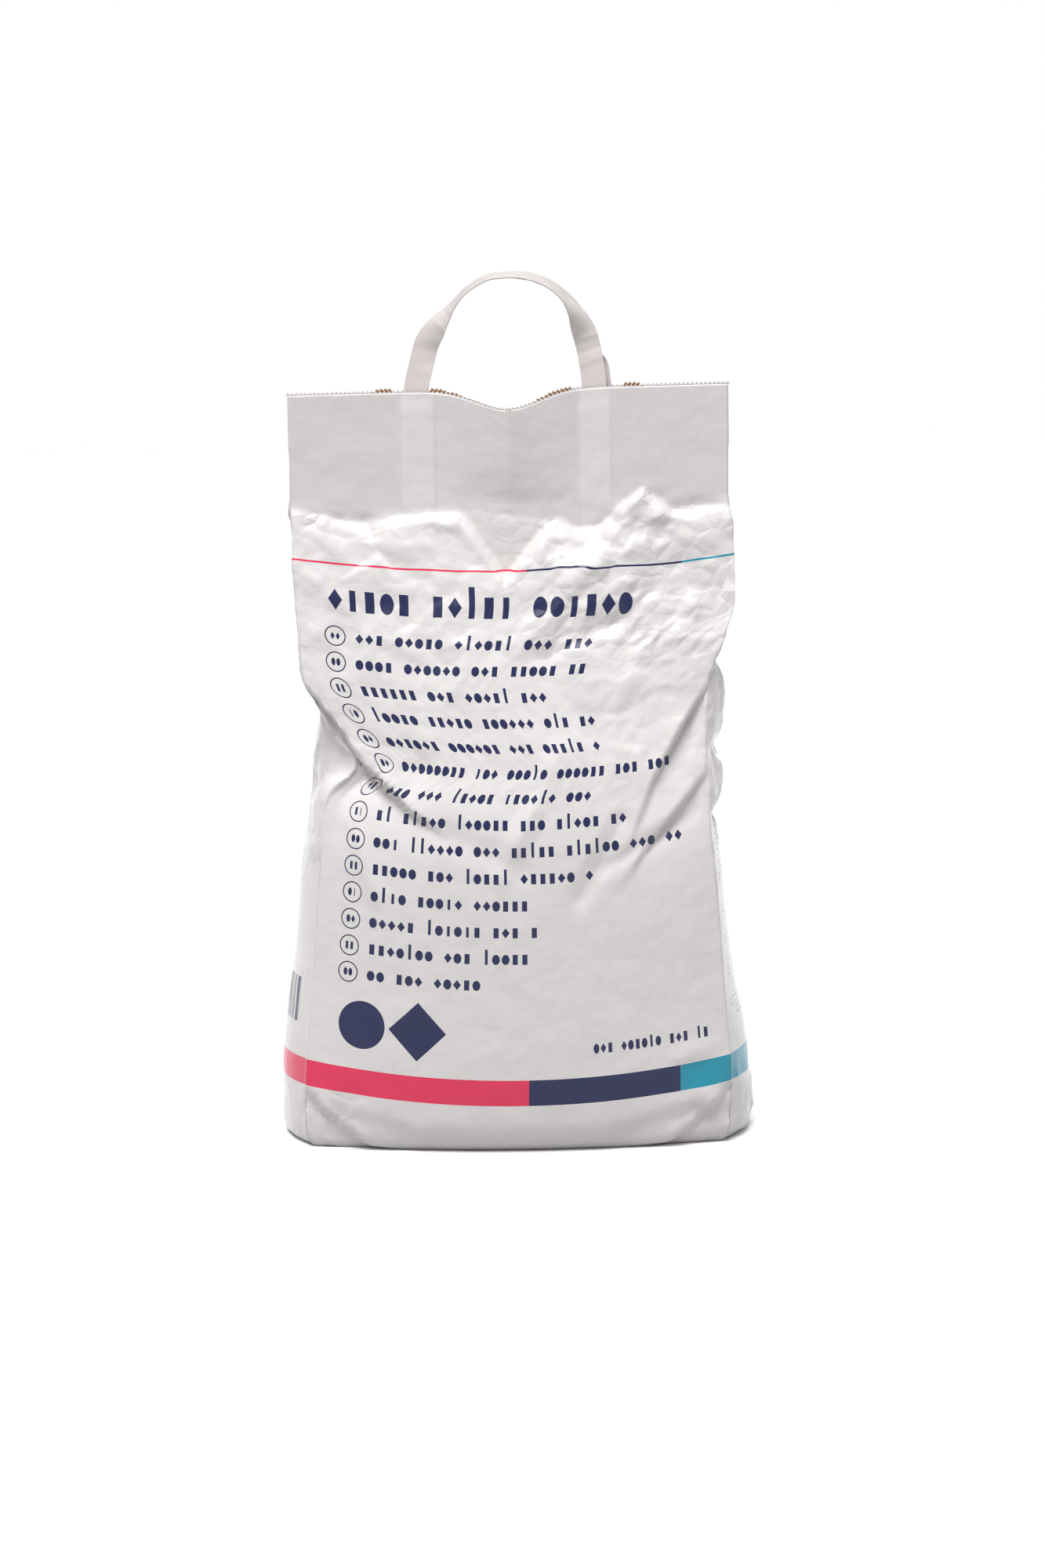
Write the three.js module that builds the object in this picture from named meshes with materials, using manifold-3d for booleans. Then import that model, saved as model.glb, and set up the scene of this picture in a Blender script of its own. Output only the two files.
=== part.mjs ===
// A filled and closed paper sack of cat litter, standing on its base, in millimetres.
// Origin at the centre of the base, +Z up, the front panel towards -Y, +X to the right of the front.
//
// The sack is a gusseted paper tube. It is a ring at every height: front panel, right gusset,
// back panel, left gusset. Low down the gussets bulge outwards round the filling. Above it they
// fold inwards, until the two panels lie on each other as a flat flap with a pinked mouth.
// Two carrying tapes are glued into the mouth, between the white outer ply and the kraft ply.

import * as THREE from "three";
import { mergeVertices } from "three/addons/utils/BufferGeometryUtils.js";
import Module from "manifold-3d";

const wasm = await Module();
wasm.setup();

// Driving dimensions of the sack
const panelWidth = 270;          // front and back panels, from fold edge to fold edge
const gussetWidth = 100;         // side gussets, from front fold edge to back fold edge
const shoulderHeight = 395;      // where the two panels come together
const mouthHeight = 466;         // pinked edge at the sides of the flap
const mouthDip = 12;             // how far the middle of the pinked edge sinks
const mouthDipHalfWidth = 27;    // reach of that dip to each side
const mouthRise = 2;             // the right end of the pinked edge stands this much higher
const flapThickness = 6.4;       // both panels with what lies between them
const flapGrooveWidth = 1.5;     // opening of the folded gusset at the sides of the flap
const gussetTuckGap = 1;         // the gusset's inner fold stops this far short of its half width
const panelBulge = 25;           // how far the middle of a filled panel stands before its edges
const ridgeDepth = 11;           // the flap is pushed forward into a ridge in its middle
const ridgeReachDown = 0.12;     // share of the shoulder's height over which the ridge runs out
const foldLip = 1.5;             // width of the worn fold edge between panel and gusset

// Driving dimensions of the mouth, the kraft ply and the tapes
const glueGap = 0.3;             // clear space kept between pieces that are glued together
const outerPly = 1.0;            // wall of the sack before and behind the mouth's pocket
const pocketWidth = 166;         // pocket of the mouth, from side to side
const pocketDepth = 68;          // how far the tapes and the kraft ply reach into the flap
const kraftWall = 0.6;
const kraftEdgeDrop = 0.5;       // the kraft ply ends this much below the pinked edge
const tapeWidth = 15;
const tapeThickness = 0.6;
const loopRise = 68.5;            // top of the carrying loop above the pinked edge
const legClearance = 5.5;        // from the flap's ridge to the edge of a leg
const frontRightLegClearance = 2.5;

// Derived sizes
const halfPanel = panelWidth / 2;
const halfGusset = gussetWidth / 2;
const flapHalf = flapThickness / 2;
const grooveHalf = flapGrooveWidth / 2;
const flapHeight = mouthHeight - shoulderHeight;
const pocketHalf = flapHalf - outerPly;
const tapeY = pocketHalf - glueGap - tapeThickness / 2;
const kraftOuter = pocketHalf - tapeThickness - 2 * glueGap;
const kraftInner = kraftOuter - kraftWall;
const tuckX = halfPanel - halfGusset + gussetTuckGap;
const ridgeHalfWidth = tuckX / 2;
const archHeight = mouthHeight + loopRise;
const legX = ridgeHalfWidth + legClearance + tapeWidth / 2;
const frontRightLegX = ridgeHalfWidth + frontRightLegClearance + tapeWidth / 2;

// Resolution. The panels' columns lie at the same x as the points of the folded gussets.
const sideColumns = 4;
const middleColumns = 16;
const panelSegments = 2 * sideColumns + middleColumns;
const gussetSegments = 2 * sideColumns;
const panelColumns = [];
for (let i = 0; i <= panelSegments; i++) {
  const fromLeft = i / sideColumns;
  const fromRight = (panelSegments - i) / sideColumns;
  if (fromLeft < 1) panelColumns.push(-halfPanel + (halfPanel - tuckX) * fromLeft);
  else if (fromRight < 1) panelColumns.push(halfPanel - (halfPanel - tuckX) * fromRight);
  else panelColumns.push(-tuckX + (2 * tuckX * (i - sideColumns)) / middleColumns);
}

// A smooth curve through a short list of [position, value] points, level past both ends
function curveThrough(points) {
  const slopes = points.map((point, i) => {
    if (i === 0 || i === points.length - 1) return 0;
    const before = points[i - 1];
    const after = points[i + 1];
    return (after[1] - before[1]) / (after[0] - before[0]);
  });
  return (position) => {
    if (position <= points[0][0]) return points[0][1];
    for (let i = 1; i < points.length; i++) {
      if (position > points[i][0]) continue;
      const span = points[i][0] - points[i - 1][0];
      const t = (position - points[i - 1][0]) / span;
      const t2 = t * t;
      const t3 = t2 * t;
      return (
        (2 * t3 - 3 * t2 + 1) * points[i - 1][1] +
        (t3 - 2 * t2 + t) * span * slopes[i - 1] +
        (3 * t2 - 2 * t3) * points[i][1] +
        (t3 - t2) * span * slopes[i]
      );
    }
    return points[points.length - 1][1];
  };
}

// The outline of the sack. Every first number is a height as a share of the shoulder height.
// Fold edges of the front panel, as a share of half the panel's width. The left one is pinched
// deeply at 0.6, where the filling stops pushing it out. The right one ends in an ear at 0.85.
const leftEdgeShare = curveThrough([
  [0, 0.978], [0.14, 0.963], [0.28, 0.926], [0.42, 0.89], [0.5, 0.866], [0.557, 0.83],
  [0.603, 0.71], [0.645, 0.79], [0.7, 0.89], [0.74, 0.948], [0.81, 0.968], [0.92, 0.987], [1, 1],
]);
const rightEdgeShare = curveThrough([
  [0, 0.985], [0.14, 0.985], [0.25, 0.959], [0.42, 0.924], [0.52, 0.892], [0.6, 0.874],
  [0.66, 0.867], [0.72, 0.885], [0.76, 0.93], [0.81, 0.995], [0.85, 1.035], [0.92, 1.028],
  [0.97, 1.012], [1, 1],
]);
// Middle of each gusset where it bulges, as a share of half the panel's width
const leftBulgeShare = curveThrough([
  [0, 1.104], [0.055, 1.104], [0.125, 1.09], [0.245, 1.052], [0.31, 1.019], [0.435, 0.984],
  [0.51, 0.943], [0.56, 0.918], [0.62, 0.908], [0.72, 0.9], [1, 0.86],
]);
const rightBulgeShare = curveThrough([
  [0, 1.104], [0.055, 1.104], [0.115, 1.087], [0.185, 1.06], [0.235, 1.026], [0.36, 0.98],
  [0.44, 0.955], [0.49, 0.941], [0.518, 0.909], [0.545, 0.952], [0.585, 0.952], [0.618, 0.921],
  [0.645, 0.958], [0.714, 0.983], [0.75, 0.965], [0.8, 0.92], [1, 0.88],
]);
// How far the gussets are folded inwards between the panels: 0 bulging, 1 flat in the flap
const leftTuck = curveThrough([[0.64, 0], [0.7, 0.16], [0.78, 0.5], [0.86, 0.8], [1, 1]]);
const rightTuck = curveThrough([[0.72, 0], [0.77, 0.14], [0.82, 0.5], [0.88, 0.82], [1, 1]]);
// Half depth of the sack at its fold edges, as a share of half the gusset's width
const edgeDepthShare = curveThrough([
  [0, 0.92], [0.05, 0.94], [0.15, 0.94], [0.38, 0.92], [0.5, 0.88], [0.58, 0.79], [0.66, 0.66],
  [0.76, 0.49], [0.85, 0.33], [0.92, 0.2], [0.97, 0.1], [0.985, 0.06], [1, 0],
]);
// Bulge of the panels, as a share of the full bulge
const bulgeShare = curveThrough([
  [0, 0.7], [0.05, 0.87], [0.15, 0.97], [0.28, 1], [0.42, 0.99], [0.5, 0.925], [0.58, 0.79],
  [0.66, 0.64], [0.76, 0.456], [0.85, 0.3], [0.92, 0.18], [0.97, 0.085], [0.985, 0.05], [1, 0],
]);
// The ridge in the middle of the flap, as a share of its depth, over the height of the flap
const ridgeShare = curveThrough([[0, 0.5], [0.5, 0.85], [1, 1]]);

// Large folds of the panels. Their ends are shares of half the panel's width and of the
// shoulder's height. Reach to each side and depth are in millimetres, and a positive depth is a
// valley and a negative one a ridge.
const fold = (from, to, reach, depth) => ({ from, to, reach, depth });
const leftDiagonalFold = fold([-0.93, 0.73], [-0.28, 0.48], 17, 7);
const rightDiagonalFold = fold([0.9, 0.72], [0.52, 0.5], 17, 6);
const rightInnerFold = fold([0.74, 0.68], [0.52, 0.45], 14, 4);
const leftShoulderFold = fold([-0.99, 0.985], [-0.41, 0.95], 12, -3);
const rightShoulderFold = fold([0.98, 0.99], [0.58, 1.01], 13, -4);
const rightCrumple = fold([0.55, 0.995], [0.27, 0.875], 13, -4);
const leftVeeCrease = fold([-0.3, 1.02], [-0.05, 0.88], 14, 6);
const rightVeeCrease = fold([0.3, 1.02], [0.05, 0.88], 14, 6);
const leftFootFold = fold([-0.96, 0.106], [-0.68, 0.01], 14, 3);
const rightFootFold = fold([0.97, 0.11], [0.71, 0.01], 14, 3);
const frontFolds = [
  leftDiagonalFold, rightDiagonalFold, rightInnerFold, leftShoulderFold, rightShoulderFold,
  rightCrumple, leftVeeCrease, rightVeeCrease, leftFootFold, rightFootFold,
];
const backFolds = [
  fold([0.87, 0.7], [0.33, 0.52], 17, 5),
  fold([-0.89, 0.71], [-0.44, 0.54], 17, 5),
  fold([-0.44, 0.94], [0.22, 0.89], 16, 4),
  fold([0.95, 0.1], [0.68, 0.01], 14, 3),
  fold([-0.96, 0.106], [-0.7, 0.01], 14, 3),
];

// How deep the folds of one panel press in at a point
function foldDepth(folds, x, z) {
  let depth = 0;
  for (const { from, to, reach, depth: deepest } of folds) {
    const fromX = from[0] * halfPanel;
    const fromZ = from[1] * shoulderHeight;
    const alongX = to[0] * halfPanel - fromX;
    const alongZ = to[1] * shoulderHeight - fromZ;
    const length2 = alongX * alongX + alongZ * alongZ;
    const share = ((x - fromX) * alongX + (z - fromZ) * alongZ) / length2;
    const nearest = Math.min(1, Math.max(0, share));
    const distance = Math.hypot(x - fromX - nearest * alongX, z - fromZ - nearest * alongZ);
    depth += deepest * Math.max(0, 1 - distance / reach);
  }
  return depth;
}

// Height of the pinked edge over the width of the flap
function mouthZ(x) {
  const dip = mouthDip * Math.exp(-((x / mouthDipHalfWidth) ** 2));
  return mouthHeight + (mouthRise * x) / halfPanel - dip;
}

// Height of a point in the flap, where share runs from the shoulder to the pinked edge
function flapZ(x, share) {
  return shoulderHeight + share * (mouthZ(x) - shoulderHeight);
}

// Middle surface of the flap: flat, with a ridge towards the front in its middle
function flapMiddleY(x, share) {
  const across = Math.max(0, 1 - Math.abs(x) / ridgeHalfWidth);
  return -ridgeDepth * ridgeShare(share) * across;
}

// The rows of the body. Those of the rounded foot have fixed heights, and the others are shares
// of the shoulder's height, close together where the sack changes shape.
const footRadius = 18;
const footRows = [0, footRadius / 6, footRadius / 2, footRadius];
const bodyShares = [
  0.076, 0.114, 0.157, 0.208, 0.263, 0.319, 0.375, 0.425, 0.466, 0.496, 0.519, 0.542, 0.565,
  0.585, 0.605, 0.625, 0.646, 0.668, 0.691, 0.714, 0.737, 0.759, 0.785, 0.81, 0.835, 0.861,
  0.886, 0.911, 0.937, 0.959, 0.982,
];
const bodyHeights = [...footRows, ...bodyShares.map((share) => share * shoulderHeight)];
const flapShares = [0, 0.045, 0.16, 0.3, 0.44, 0.58, 0.72, 0.86, 1];

// How far the lowest rows are drawn in, for the rounded foot
const footDraw = 10;
const footInset = curveThrough([
  [0, footDraw], [footRows[1], 0.45 * footDraw], [footRows[2], 0.12 * footDraw], [footRadius, 0],
]);

// Shape of the body's rings
const backNarrowing = 0.08;      // the back panel is this share narrower at half height
const footNarrowing = 0.02;      // and this share narrower at the foot
const frontPinchOnBack = 1 / 3;  // how much of the front's pinch the back panel follows
const ridgeTip = 0.2;            // share of the ridge's width that is left where it runs out
const stiffEdge = 0.2;           // folds fade out over this share of a panel beside its edges

// One gusset from its front edge to its back edge, both edges included, as [x, y] points
function gussetPoints(side, frontX, backX, middleX, lipY, tuck) {
  const points = [];
  for (let i = 0; i <= gussetSegments; i++) {
    const across = (2 * i) / gussetSegments - 1;
    const edgeX = frontX + ((backX - frontX) * i) / gussetSegments;
    const bulging = 1 - across * across;
    const folded = 1 - Math.abs(across);
    const share = bulging + (folded - bulging) * tuck;
    points.push([side * (edgeX + (middleX - edgeX) * share), across * lipY]);
  }
  return points;
}

// The ring at one height of the body, seen from above it runs anticlockwise from the left
// front fold edge: front panel, right gusset, back panel, left gusset
function bodyRing(z) {
  const level = z / shoulderHeight;
  const leftX = halfPanel * leftEdgeShare(level);
  const rightX = halfPanel * rightEdgeShare(level);
  // The back panel's edges are less pinched than those of the front
  const narrowing = footNarrowing * (1 - level) + backNarrowing * Math.sin(Math.PI * level);
  const evenX = halfPanel * (1 - narrowing);
  const backLeftX = evenX + (leftX - evenX) * frontPinchOnBack;
  const backRightX = evenX + (rightX - evenX) * frontPinchOnBack;
  const edgeY = flapHalf + (halfGusset - flapHalf) * edgeDepthShare(level);
  const bulge = panelBulge * bulgeShare(level);
  const ridgeRise = Math.max(0, 1 - (1 - level) / ridgeReachDown);
  const panelPoint = (column, fromX, toX, side, folds) => {
    const across = column / halfPanel;
    const x = fromX + ((toX - fromX) * (across + 1)) / 2;
    const ridgeReach = ridgeHalfWidth * (ridgeTip + (1 - ridgeTip) * ridgeRise);
    const tent = Math.max(0, 1 - Math.abs(x) / ridgeReach);
    const ridge = ridgeDepth * ridgeShare(0) * ridgeRise * tent;
    const nearEdge = Math.min(1, (1 - Math.abs(across)) / stiffEdge);
    const pressed = foldDepth(folds, x, z) * nearEdge;
    return [x, side * (edgeY + bulge * (1 - across * across) - pressed) - ridge, z];
  };
  const gusset = (side, frontX, backX, bulgeX, tuck) => {
    const lipY = edgeY - foldLip - (flapHalf - grooveHalf - foldLip) * tuck;
    const middleX = bulgeX + (tuckX - bulgeX) * tuck;
    return gussetPoints(side, frontX, backX, middleX, lipY, tuck).map(([x, y]) => [x, y, z]);
  };
  const points = [
    ...panelColumns.map((column) => panelPoint(column, -leftX, rightX, -1, frontFolds)),
    ...gusset(1, rightX, backRightX, halfPanel * rightBulgeShare(level), rightTuck(level)),
    ...panelColumns
      .map((column) => panelPoint(column, -backLeftX, backRightX, 1, backFolds))
      .reverse(),
    ...gusset(-1, leftX, backLeftX, halfPanel * leftBulgeShare(level), leftTuck(level))
      .reverse(),
  ];
  const inset = footInset(z);
  const shrinkX = 1 - inset / (halfPanel + inset);
  const shrinkY = 1 - inset / (halfGusset + inset);
  return points.map(([x, y, height]) => [x * shrinkX, y * shrinkY, height]);
}

// The ring in the flap, at a share of the flap's height
function flapRing(share) {
  const panelPoint = (x, side) => [
    x, flapMiddleY(x, share) + side * flapHalf, flapZ(x, share),
  ];
  const gusset = (side) =>
    gussetPoints(side, halfPanel, halfPanel, tuckX, grooveHalf, 1).map(([x, y]) => [
      x, y, flapZ(x, share),
    ]);
  return [
    ...panelColumns.map((x) => panelPoint(x, -1)),
    ...gusset(1),
    ...panelColumns.map((x) => panelPoint(x, 1)).reverse(),
    ...gusset(-1).reverse(),
  ];
}

// The side faces between rings of equally many points
function wallFaces(ringCount, count) {
  const faces = [];
  for (let row = 0; row + 1 < ringCount; row++) {
    for (let i = 0; i < count; i++) {
      const here = row * count + i;
      const next = row * count + ((i + 1) % count);
      faces.push(here, next, next + count);
      faces.push(here, next + count, here + count);
    }
  }
  return faces;
}

// The closed sack from its rings. An end face is made of narrow strips across its thickness:
// beside each gusset's fold they run from a panel to the gusset, and elsewhere from front to back.
function sackFromRings(rings) {
  const count = rings[0].length;
  const faces = wallFaces(rings.length, count);
  const last = panelSegments;
  const rightMiddle = last + 1 + sideColumns;
  const backRight = last + 1 + gussetSegments + 1;
  const backLeft = backRight + last;
  const leftMiddle = backLeft + 1 + sideColumns;
  for (const [offset, upwards] of [[0, false], [(rings.length - 1) * count, true]]) {
    const quad = (a, b, c, d) => {
      addFace(faces, offset + a, offset + b, offset + c, upwards);
      addFace(faces, offset + a, offset + c, offset + d, upwards);
    };
    for (let k = 0; k < sideColumns; k++) {
      quad(k, k + 1, count - 2 - k, count - 1 - k);
      quad(backLeft + 1 + k, backLeft + 2 + k, backLeft - 1 - k, backLeft - k);
      quad(last - k - 1, last - k, last + 1 + k, last + 2 + k);
      quad(backRight - 2 - k, backRight - 1 - k, backRight + k, backRight + 1 + k);
    }
    const firstInner = sideColumns + 1;
    const lastInner = last - firstInner;
    quad(leftMiddle, sideColumns, firstInner, backLeft - firstInner);
    addFace(faces, offset + leftMiddle, offset + backLeft - firstInner,
      offset + backLeft - sideColumns, upwards);
    for (let k = firstInner; k < lastInner; k++) {
      quad(k, k + 1, backLeft - k - 1, backLeft - k);
    }
    quad(lastInner, last - sideColumns, rightMiddle, backRight + firstInner);
    addFace(faces, offset + backRight + firstInner, offset + rightMiddle,
      offset + backRight + sideColumns, upwards);
  }
  return toSolid(rings.flat(2), faces);
}

// One triangle, turned over where the face points down
function addFace(faces, a, b, c, upwards) {
  if (a === b || b === c || c === a) return;
  if (upwards) faces.push(a, b, c);
  else faces.push(a, c, b);
}

function toSolid(positions, faces) {
  const geometry = new THREE.BufferGeometry();
  geometry.setAttribute("position", new THREE.Float32BufferAttribute(positions, 3));
  geometry.setIndex(faces);
  const merged = mergeVertices(geometry, 1e-4);
  const kept = [];
  const index = merged.index.array;
  for (let i = 0; i < index.length; i += 3) {
    if (index[i] === index[i + 1] || index[i + 1] === index[i + 2]) continue;
    if (index[i] === index[i + 2]) continue;
    kept.push(index[i], index[i + 1], index[i + 2]);
  }
  return new wasm.Manifold(
    new wasm.Mesh({
      numProp: 3,
      vertProperties: merged.attributes.position.array,
      triVerts: Uint32Array.from(kept),
    }),
  );
}

// A slab that follows the middle surface of the flap, between two x and from a share of the
// flap's height to above or below the pinked edge
function flapSlab(halfWidth, halfThickness, bottomShare, edgeOffset) {
  const inside = panelColumns.filter((x) => Math.abs(x) < halfWidth);
  const columns = [-halfWidth, ...inside, halfWidth];
  const shares = [bottomShare, ...flapShares.filter((share) => share > bottomShare && share < 1)];
  const rings = shares.map((share) => slabRing(columns, share, halfThickness, 0));
  rings.push(slabRing(columns, 1, halfThickness, edgeOffset));
  return slabLoft(rings, columns.length);
}

function slabRing(columns, share, halfThickness, rise) {
  const front = columns.map((x) => [
    x, flapMiddleY(x, share) - halfThickness, flapZ(x, share) + rise,
  ]);
  const back = columns.map((x) => [
    x, flapMiddleY(x, share) + halfThickness, flapZ(x, share) + rise,
  ]);
  return [...front, ...back.reverse()];
}

function slabLoft(rings, columnCount) {
  const count = rings[0].length;
  const faces = wallFaces(rings.length, count);
  for (const [offset, upwards] of [[0, false], [(rings.length - 1) * count, true]]) {
    for (let i = 0; i + 1 < columnCount; i++) {
      const back = count - 1 - i;
      addFace(faces, offset + i, offset + i + 1, offset + back - 1, upwards);
      addFace(faces, offset + i, offset + back - 1, offset + back, upwards);
    }
  }
  return toSolid(rings.flat(2), faces);
}

function toGeometry(solid) {
  const mesh = solid.getMesh();
  const geometry = new THREE.BufferGeometry();
  geometry.setAttribute("position", new THREE.Float32BufferAttribute(mesh.vertProperties, 3));
  geometry.setIndex(Array.from(mesh.triVerts));
  geometry.computeVertexNormals();
  return geometry;
}

// Paper sack
const pocketBottom = (flapHeight - pocketDepth) / flapHeight;
const cutAbove = 6;              // the pocket is cut out to this far above the pinked edge
const sackRings = [
  ...bodyHeights.map((height) => bodyRing(height)),
  ...flapShares.map((share) => flapRing(share)),
];
const pocket = flapSlab(pocketWidth / 2, pocketHalf, pocketBottom, cutAbove);
const sackSolid = sackFromRings(sackRings).subtract(pocket);

// Kraft ply: a pocket of brown paper that lines the mouth
const kraftBottom = pocketBottom + glueGap / flapHeight;
const kraftFloor = kraftBottom + kraftWall / flapHeight;
const kraftHalfWidth = pocketWidth / 2 - glueGap;
const kraftOutside = flapSlab(kraftHalfWidth, kraftOuter, kraftBottom, -kraftEdgeDrop);
const kraftInside = flapSlab(kraftHalfWidth - kraftWall, kraftInner, kraftFloor, cutAbove);
const kraftSolid = kraftOutside.subtract(kraftInside);

// Carrying tapes. The middle line of a tape leaves the mouth, leans inwards and runs over the
// arch. Its points are shares: x of the leg's distance, z from the mouth to the top.
const tapePath = [
  [-1, 0], [-0.945, 0.2], [-0.873, 0.41], [-0.8, 0.51], [-0.665, 0.66], [-0.44, 0.87],
  [-0.23, 0.972], [0, 1], [0.23, 0.985], [0.45, 0.92], [0.66, 0.79], [0.8, 0.645],
  [0.905, 0.45], [0.965, 0.24], [1, 0],
];
const tapeSteps = 48;
const tapeClearance = 0.6;       // between the two tapes where they lie side by side
const turnedShift = tapeWidth / 2 + tapeClearance - tapeY;
// Over the arch a tape turns on edge. It starts to turn and has turned at these shares of its
// rise, and the whole turn is in degrees. The front tape leans back on top and the back tape
// leans forward, most of all on the right.
const frontTurn = { left: [0.33, 0.8], right: [0.38, 0.85], wholeLeft: 78, wholeRight: 80 };
const backTurn = { left: [0.3, 0.75], right: [0.08, 0.5], wholeLeft: 95, wholeRight: 111 };

// A tape: outside faces the front (side -1) or the back (side 1) at both legs, and the tape is
// turned on edge over the arch, so that the pair makes one flat grip
function carryingTape(side, rightLegX, turning) {
  const legBottom = flapZ(-legX, pocketBottom) + glueGap;
  const start = mouthHeight;
  const route = tapePath.map(([shareX, shareZ]) => {
    const reach = shareX < 0 ? legX : rightLegX;
    return new THREE.Vector3(shareX * reach, 0, start + shareZ * (archHeight - start));
  });
  route.unshift(new THREE.Vector3(-legX, 0, (legBottom + start) / 2));
  route.unshift(new THREE.Vector3(-legX, 0, legBottom));
  route.push(new THREE.Vector3(rightLegX, 0, (legBottom + start) / 2));
  route.push(new THREE.Vector3(rightLegX, 0, legBottom));
  const line = new THREE.CatmullRomCurve3(route, false, "centripetal");
  const rings = [];
  for (let i = 0; i <= tapeSteps; i++) {
    const at = i / tapeSteps;
    const point = line.getPointAt(at);
    const tangent = line.getTangentAt(at);
    tangent.y = 0;
    tangent.normalize();
    const [turnStart, turnEnd] = point.x < 0 ? turning.left : turning.right;
    const rise = (point.z - start) / (archHeight - start);
    const turned = THREE.MathUtils.smoothstep(rise, turnStart, turnEnd);
    const toRight = THREE.MathUtils.smoothstep(point.x, -legX, legX);
    const whole = THREE.MathUtils.lerp(turning.wholeLeft, turning.wholeRight, toRight);
    const turn = turned * THREE.MathUtils.degToRad(whole);
    const outward = new THREE.Vector3(-tangent.z, 0, tangent.x);
    const face = new THREE.Vector3(0, side * Math.cos(turn), 0);
    face.addScaledVector(outward, Math.sin(turn)).normalize();
    const across = new THREE.Vector3().crossVectors(face, tangent).normalize();
    point.y = side * (tapeY + turnedShift * Math.sin(turn));
    rings.push(
      [[1, 1], [-1, 1], [-1, -1], [1, -1]].map(([acrossSign, faceSign]) => {
        const corner = point.clone();
        corner.addScaledVector(across, (acrossSign * tapeWidth) / 2);
        corner.addScaledVector(face, (faceSign * tapeThickness) / 2);
        return corner.toArray();
      }),
    );
  }
  return slabLoft(rings, 2);
}

const frontTapeSolid = carryingTape(-1, frontRightLegX, frontTurn);
const backTapeSolid = carryingTape(1, legX, backTurn);

// The pieces with their finishes
const coatedPaper = new THREE.MeshStandardMaterial({
  color: 0xe9e7e7, roughness: 0.35, metalness: 0,
});
const kraftPaper = new THREE.MeshStandardMaterial({
  color: 0xaa825f, roughness: 0.9, metalness: 0,
});
const tapePaper = new THREE.MeshStandardMaterial({
  color: 0xe2d9d8, roughness: 0.7, metalness: 0,
});

const sack = new THREE.Group();

function addPiece(name, solid, material) {
  const mesh = new THREE.Mesh(toGeometry(solid), material);
  mesh.name = name;
  sack.add(mesh);
}

addPiece("paper_sack", sackSolid, coatedPaper);
addPiece("kraft_inner_ply", kraftSolid, kraftPaper);
addPiece("front_handle", frontTapeSolid, tapePaper);
addPiece("back_handle", backTapeSolid, tapePaper);

export default sack;
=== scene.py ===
# A filled and closed paper sack of cat litter with two paper tape handles, standing on a floor.
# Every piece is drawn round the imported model, in its frame. Shapes are worked out in
# millimetres and turned to metres when a mesh is made.
import math

import bpy
import numpy as np
from mathutils import Matrix, Vector
from mathutils.geometry import delaunay_2d_cdt


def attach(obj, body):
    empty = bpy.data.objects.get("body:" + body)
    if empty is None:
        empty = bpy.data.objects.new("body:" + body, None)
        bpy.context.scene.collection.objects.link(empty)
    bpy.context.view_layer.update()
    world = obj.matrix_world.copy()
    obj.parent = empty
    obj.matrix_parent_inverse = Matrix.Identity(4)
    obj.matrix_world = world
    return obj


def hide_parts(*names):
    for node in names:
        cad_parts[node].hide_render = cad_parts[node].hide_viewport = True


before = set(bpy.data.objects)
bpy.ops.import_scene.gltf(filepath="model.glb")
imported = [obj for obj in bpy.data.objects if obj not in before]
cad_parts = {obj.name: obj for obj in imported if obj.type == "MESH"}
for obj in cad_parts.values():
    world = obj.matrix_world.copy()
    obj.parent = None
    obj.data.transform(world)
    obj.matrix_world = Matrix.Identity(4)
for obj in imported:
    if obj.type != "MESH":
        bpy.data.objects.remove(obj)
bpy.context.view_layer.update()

MM = 0.001


def new_object(name, data):
    """An object in the scene that shows a mesh, a lamp or a camera."""
    made = bpy.data.objects.new(name, data)
    bpy.context.scene.collection.objects.link(made)
    return made


# Camera
# It stands in front of the sack and a little above it, with a long lens, and it is turned
# a little about its line of sight, as the photograph is.
PHOTO_HEIGHT = 2000
LENS_PIXELS = 4496
SENSOR = 36.0
camera_distance = 2.2
camera_elevation = math.radians(9.5)
camera_roll = math.radians(0.73)
camera_target = Vector((0.006, 0.0, 0.22))
camera_data = bpy.data.cameras.new("photo_camera")
camera_data.sensor_width = SENSOR
camera_data.lens = LENS_PIXELS * SENSOR / PHOTO_HEIGHT
camera = new_object("photo_camera", camera_data)
towards_camera = Vector((0, -math.cos(camera_elevation), math.sin(camera_elevation)))
camera.location = camera_target + towards_camera * camera_distance
look = (-towards_camera).to_track_quat("-Z", "Y").to_matrix().to_4x4()
camera.matrix_world = (
    Matrix.Translation(camera.location) @ look @ Matrix.Rotation(-camera_roll, 4, "Z")
)
bpy.context.scene.camera = camera
bpy.context.scene.view_settings.view_transform = "Standard"


# Floor, background and lights
# A white studio floor under one large soft light overhead, a little to the left and in front,
# with weaker ones above at both sides, in front on the left and behind.
def linear(hex_colour):
    """An sRGB hex colour as the linear colour that a shader takes."""
    shares = [int(hex_colour[i:i + 2], 16) / 255 for i in (1, 3, 5)]
    return [c / 12.92 if c <= 0.04045 else ((c + 0.055) / 1.055) ** 2.4 for c in shares] + [1.0]


def add_node(tree, kind, inputs=None, **settings):
    """Adds a node. An input is a value, or the output socket of another node."""
    made = tree.nodes.new(kind)
    for name, value in settings.items():
        setattr(made, name, value)
    for name, value in (inputs or {}).items():
        socket = made.inputs[name]
        if isinstance(value, bpy.types.NodeSocket):
            tree.links.new(value, socket)
        else:
            socket.default_value = value
    return made


def mixed(tree, factor, first, second):
    """One colour where the factor is 0 and another where it is 1."""
    inputs = {"Factor": factor, "A": first, "B": second}
    return add_node(tree, "ShaderNodeMix", inputs, data_type="RGBA").outputs["Result"]


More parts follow.
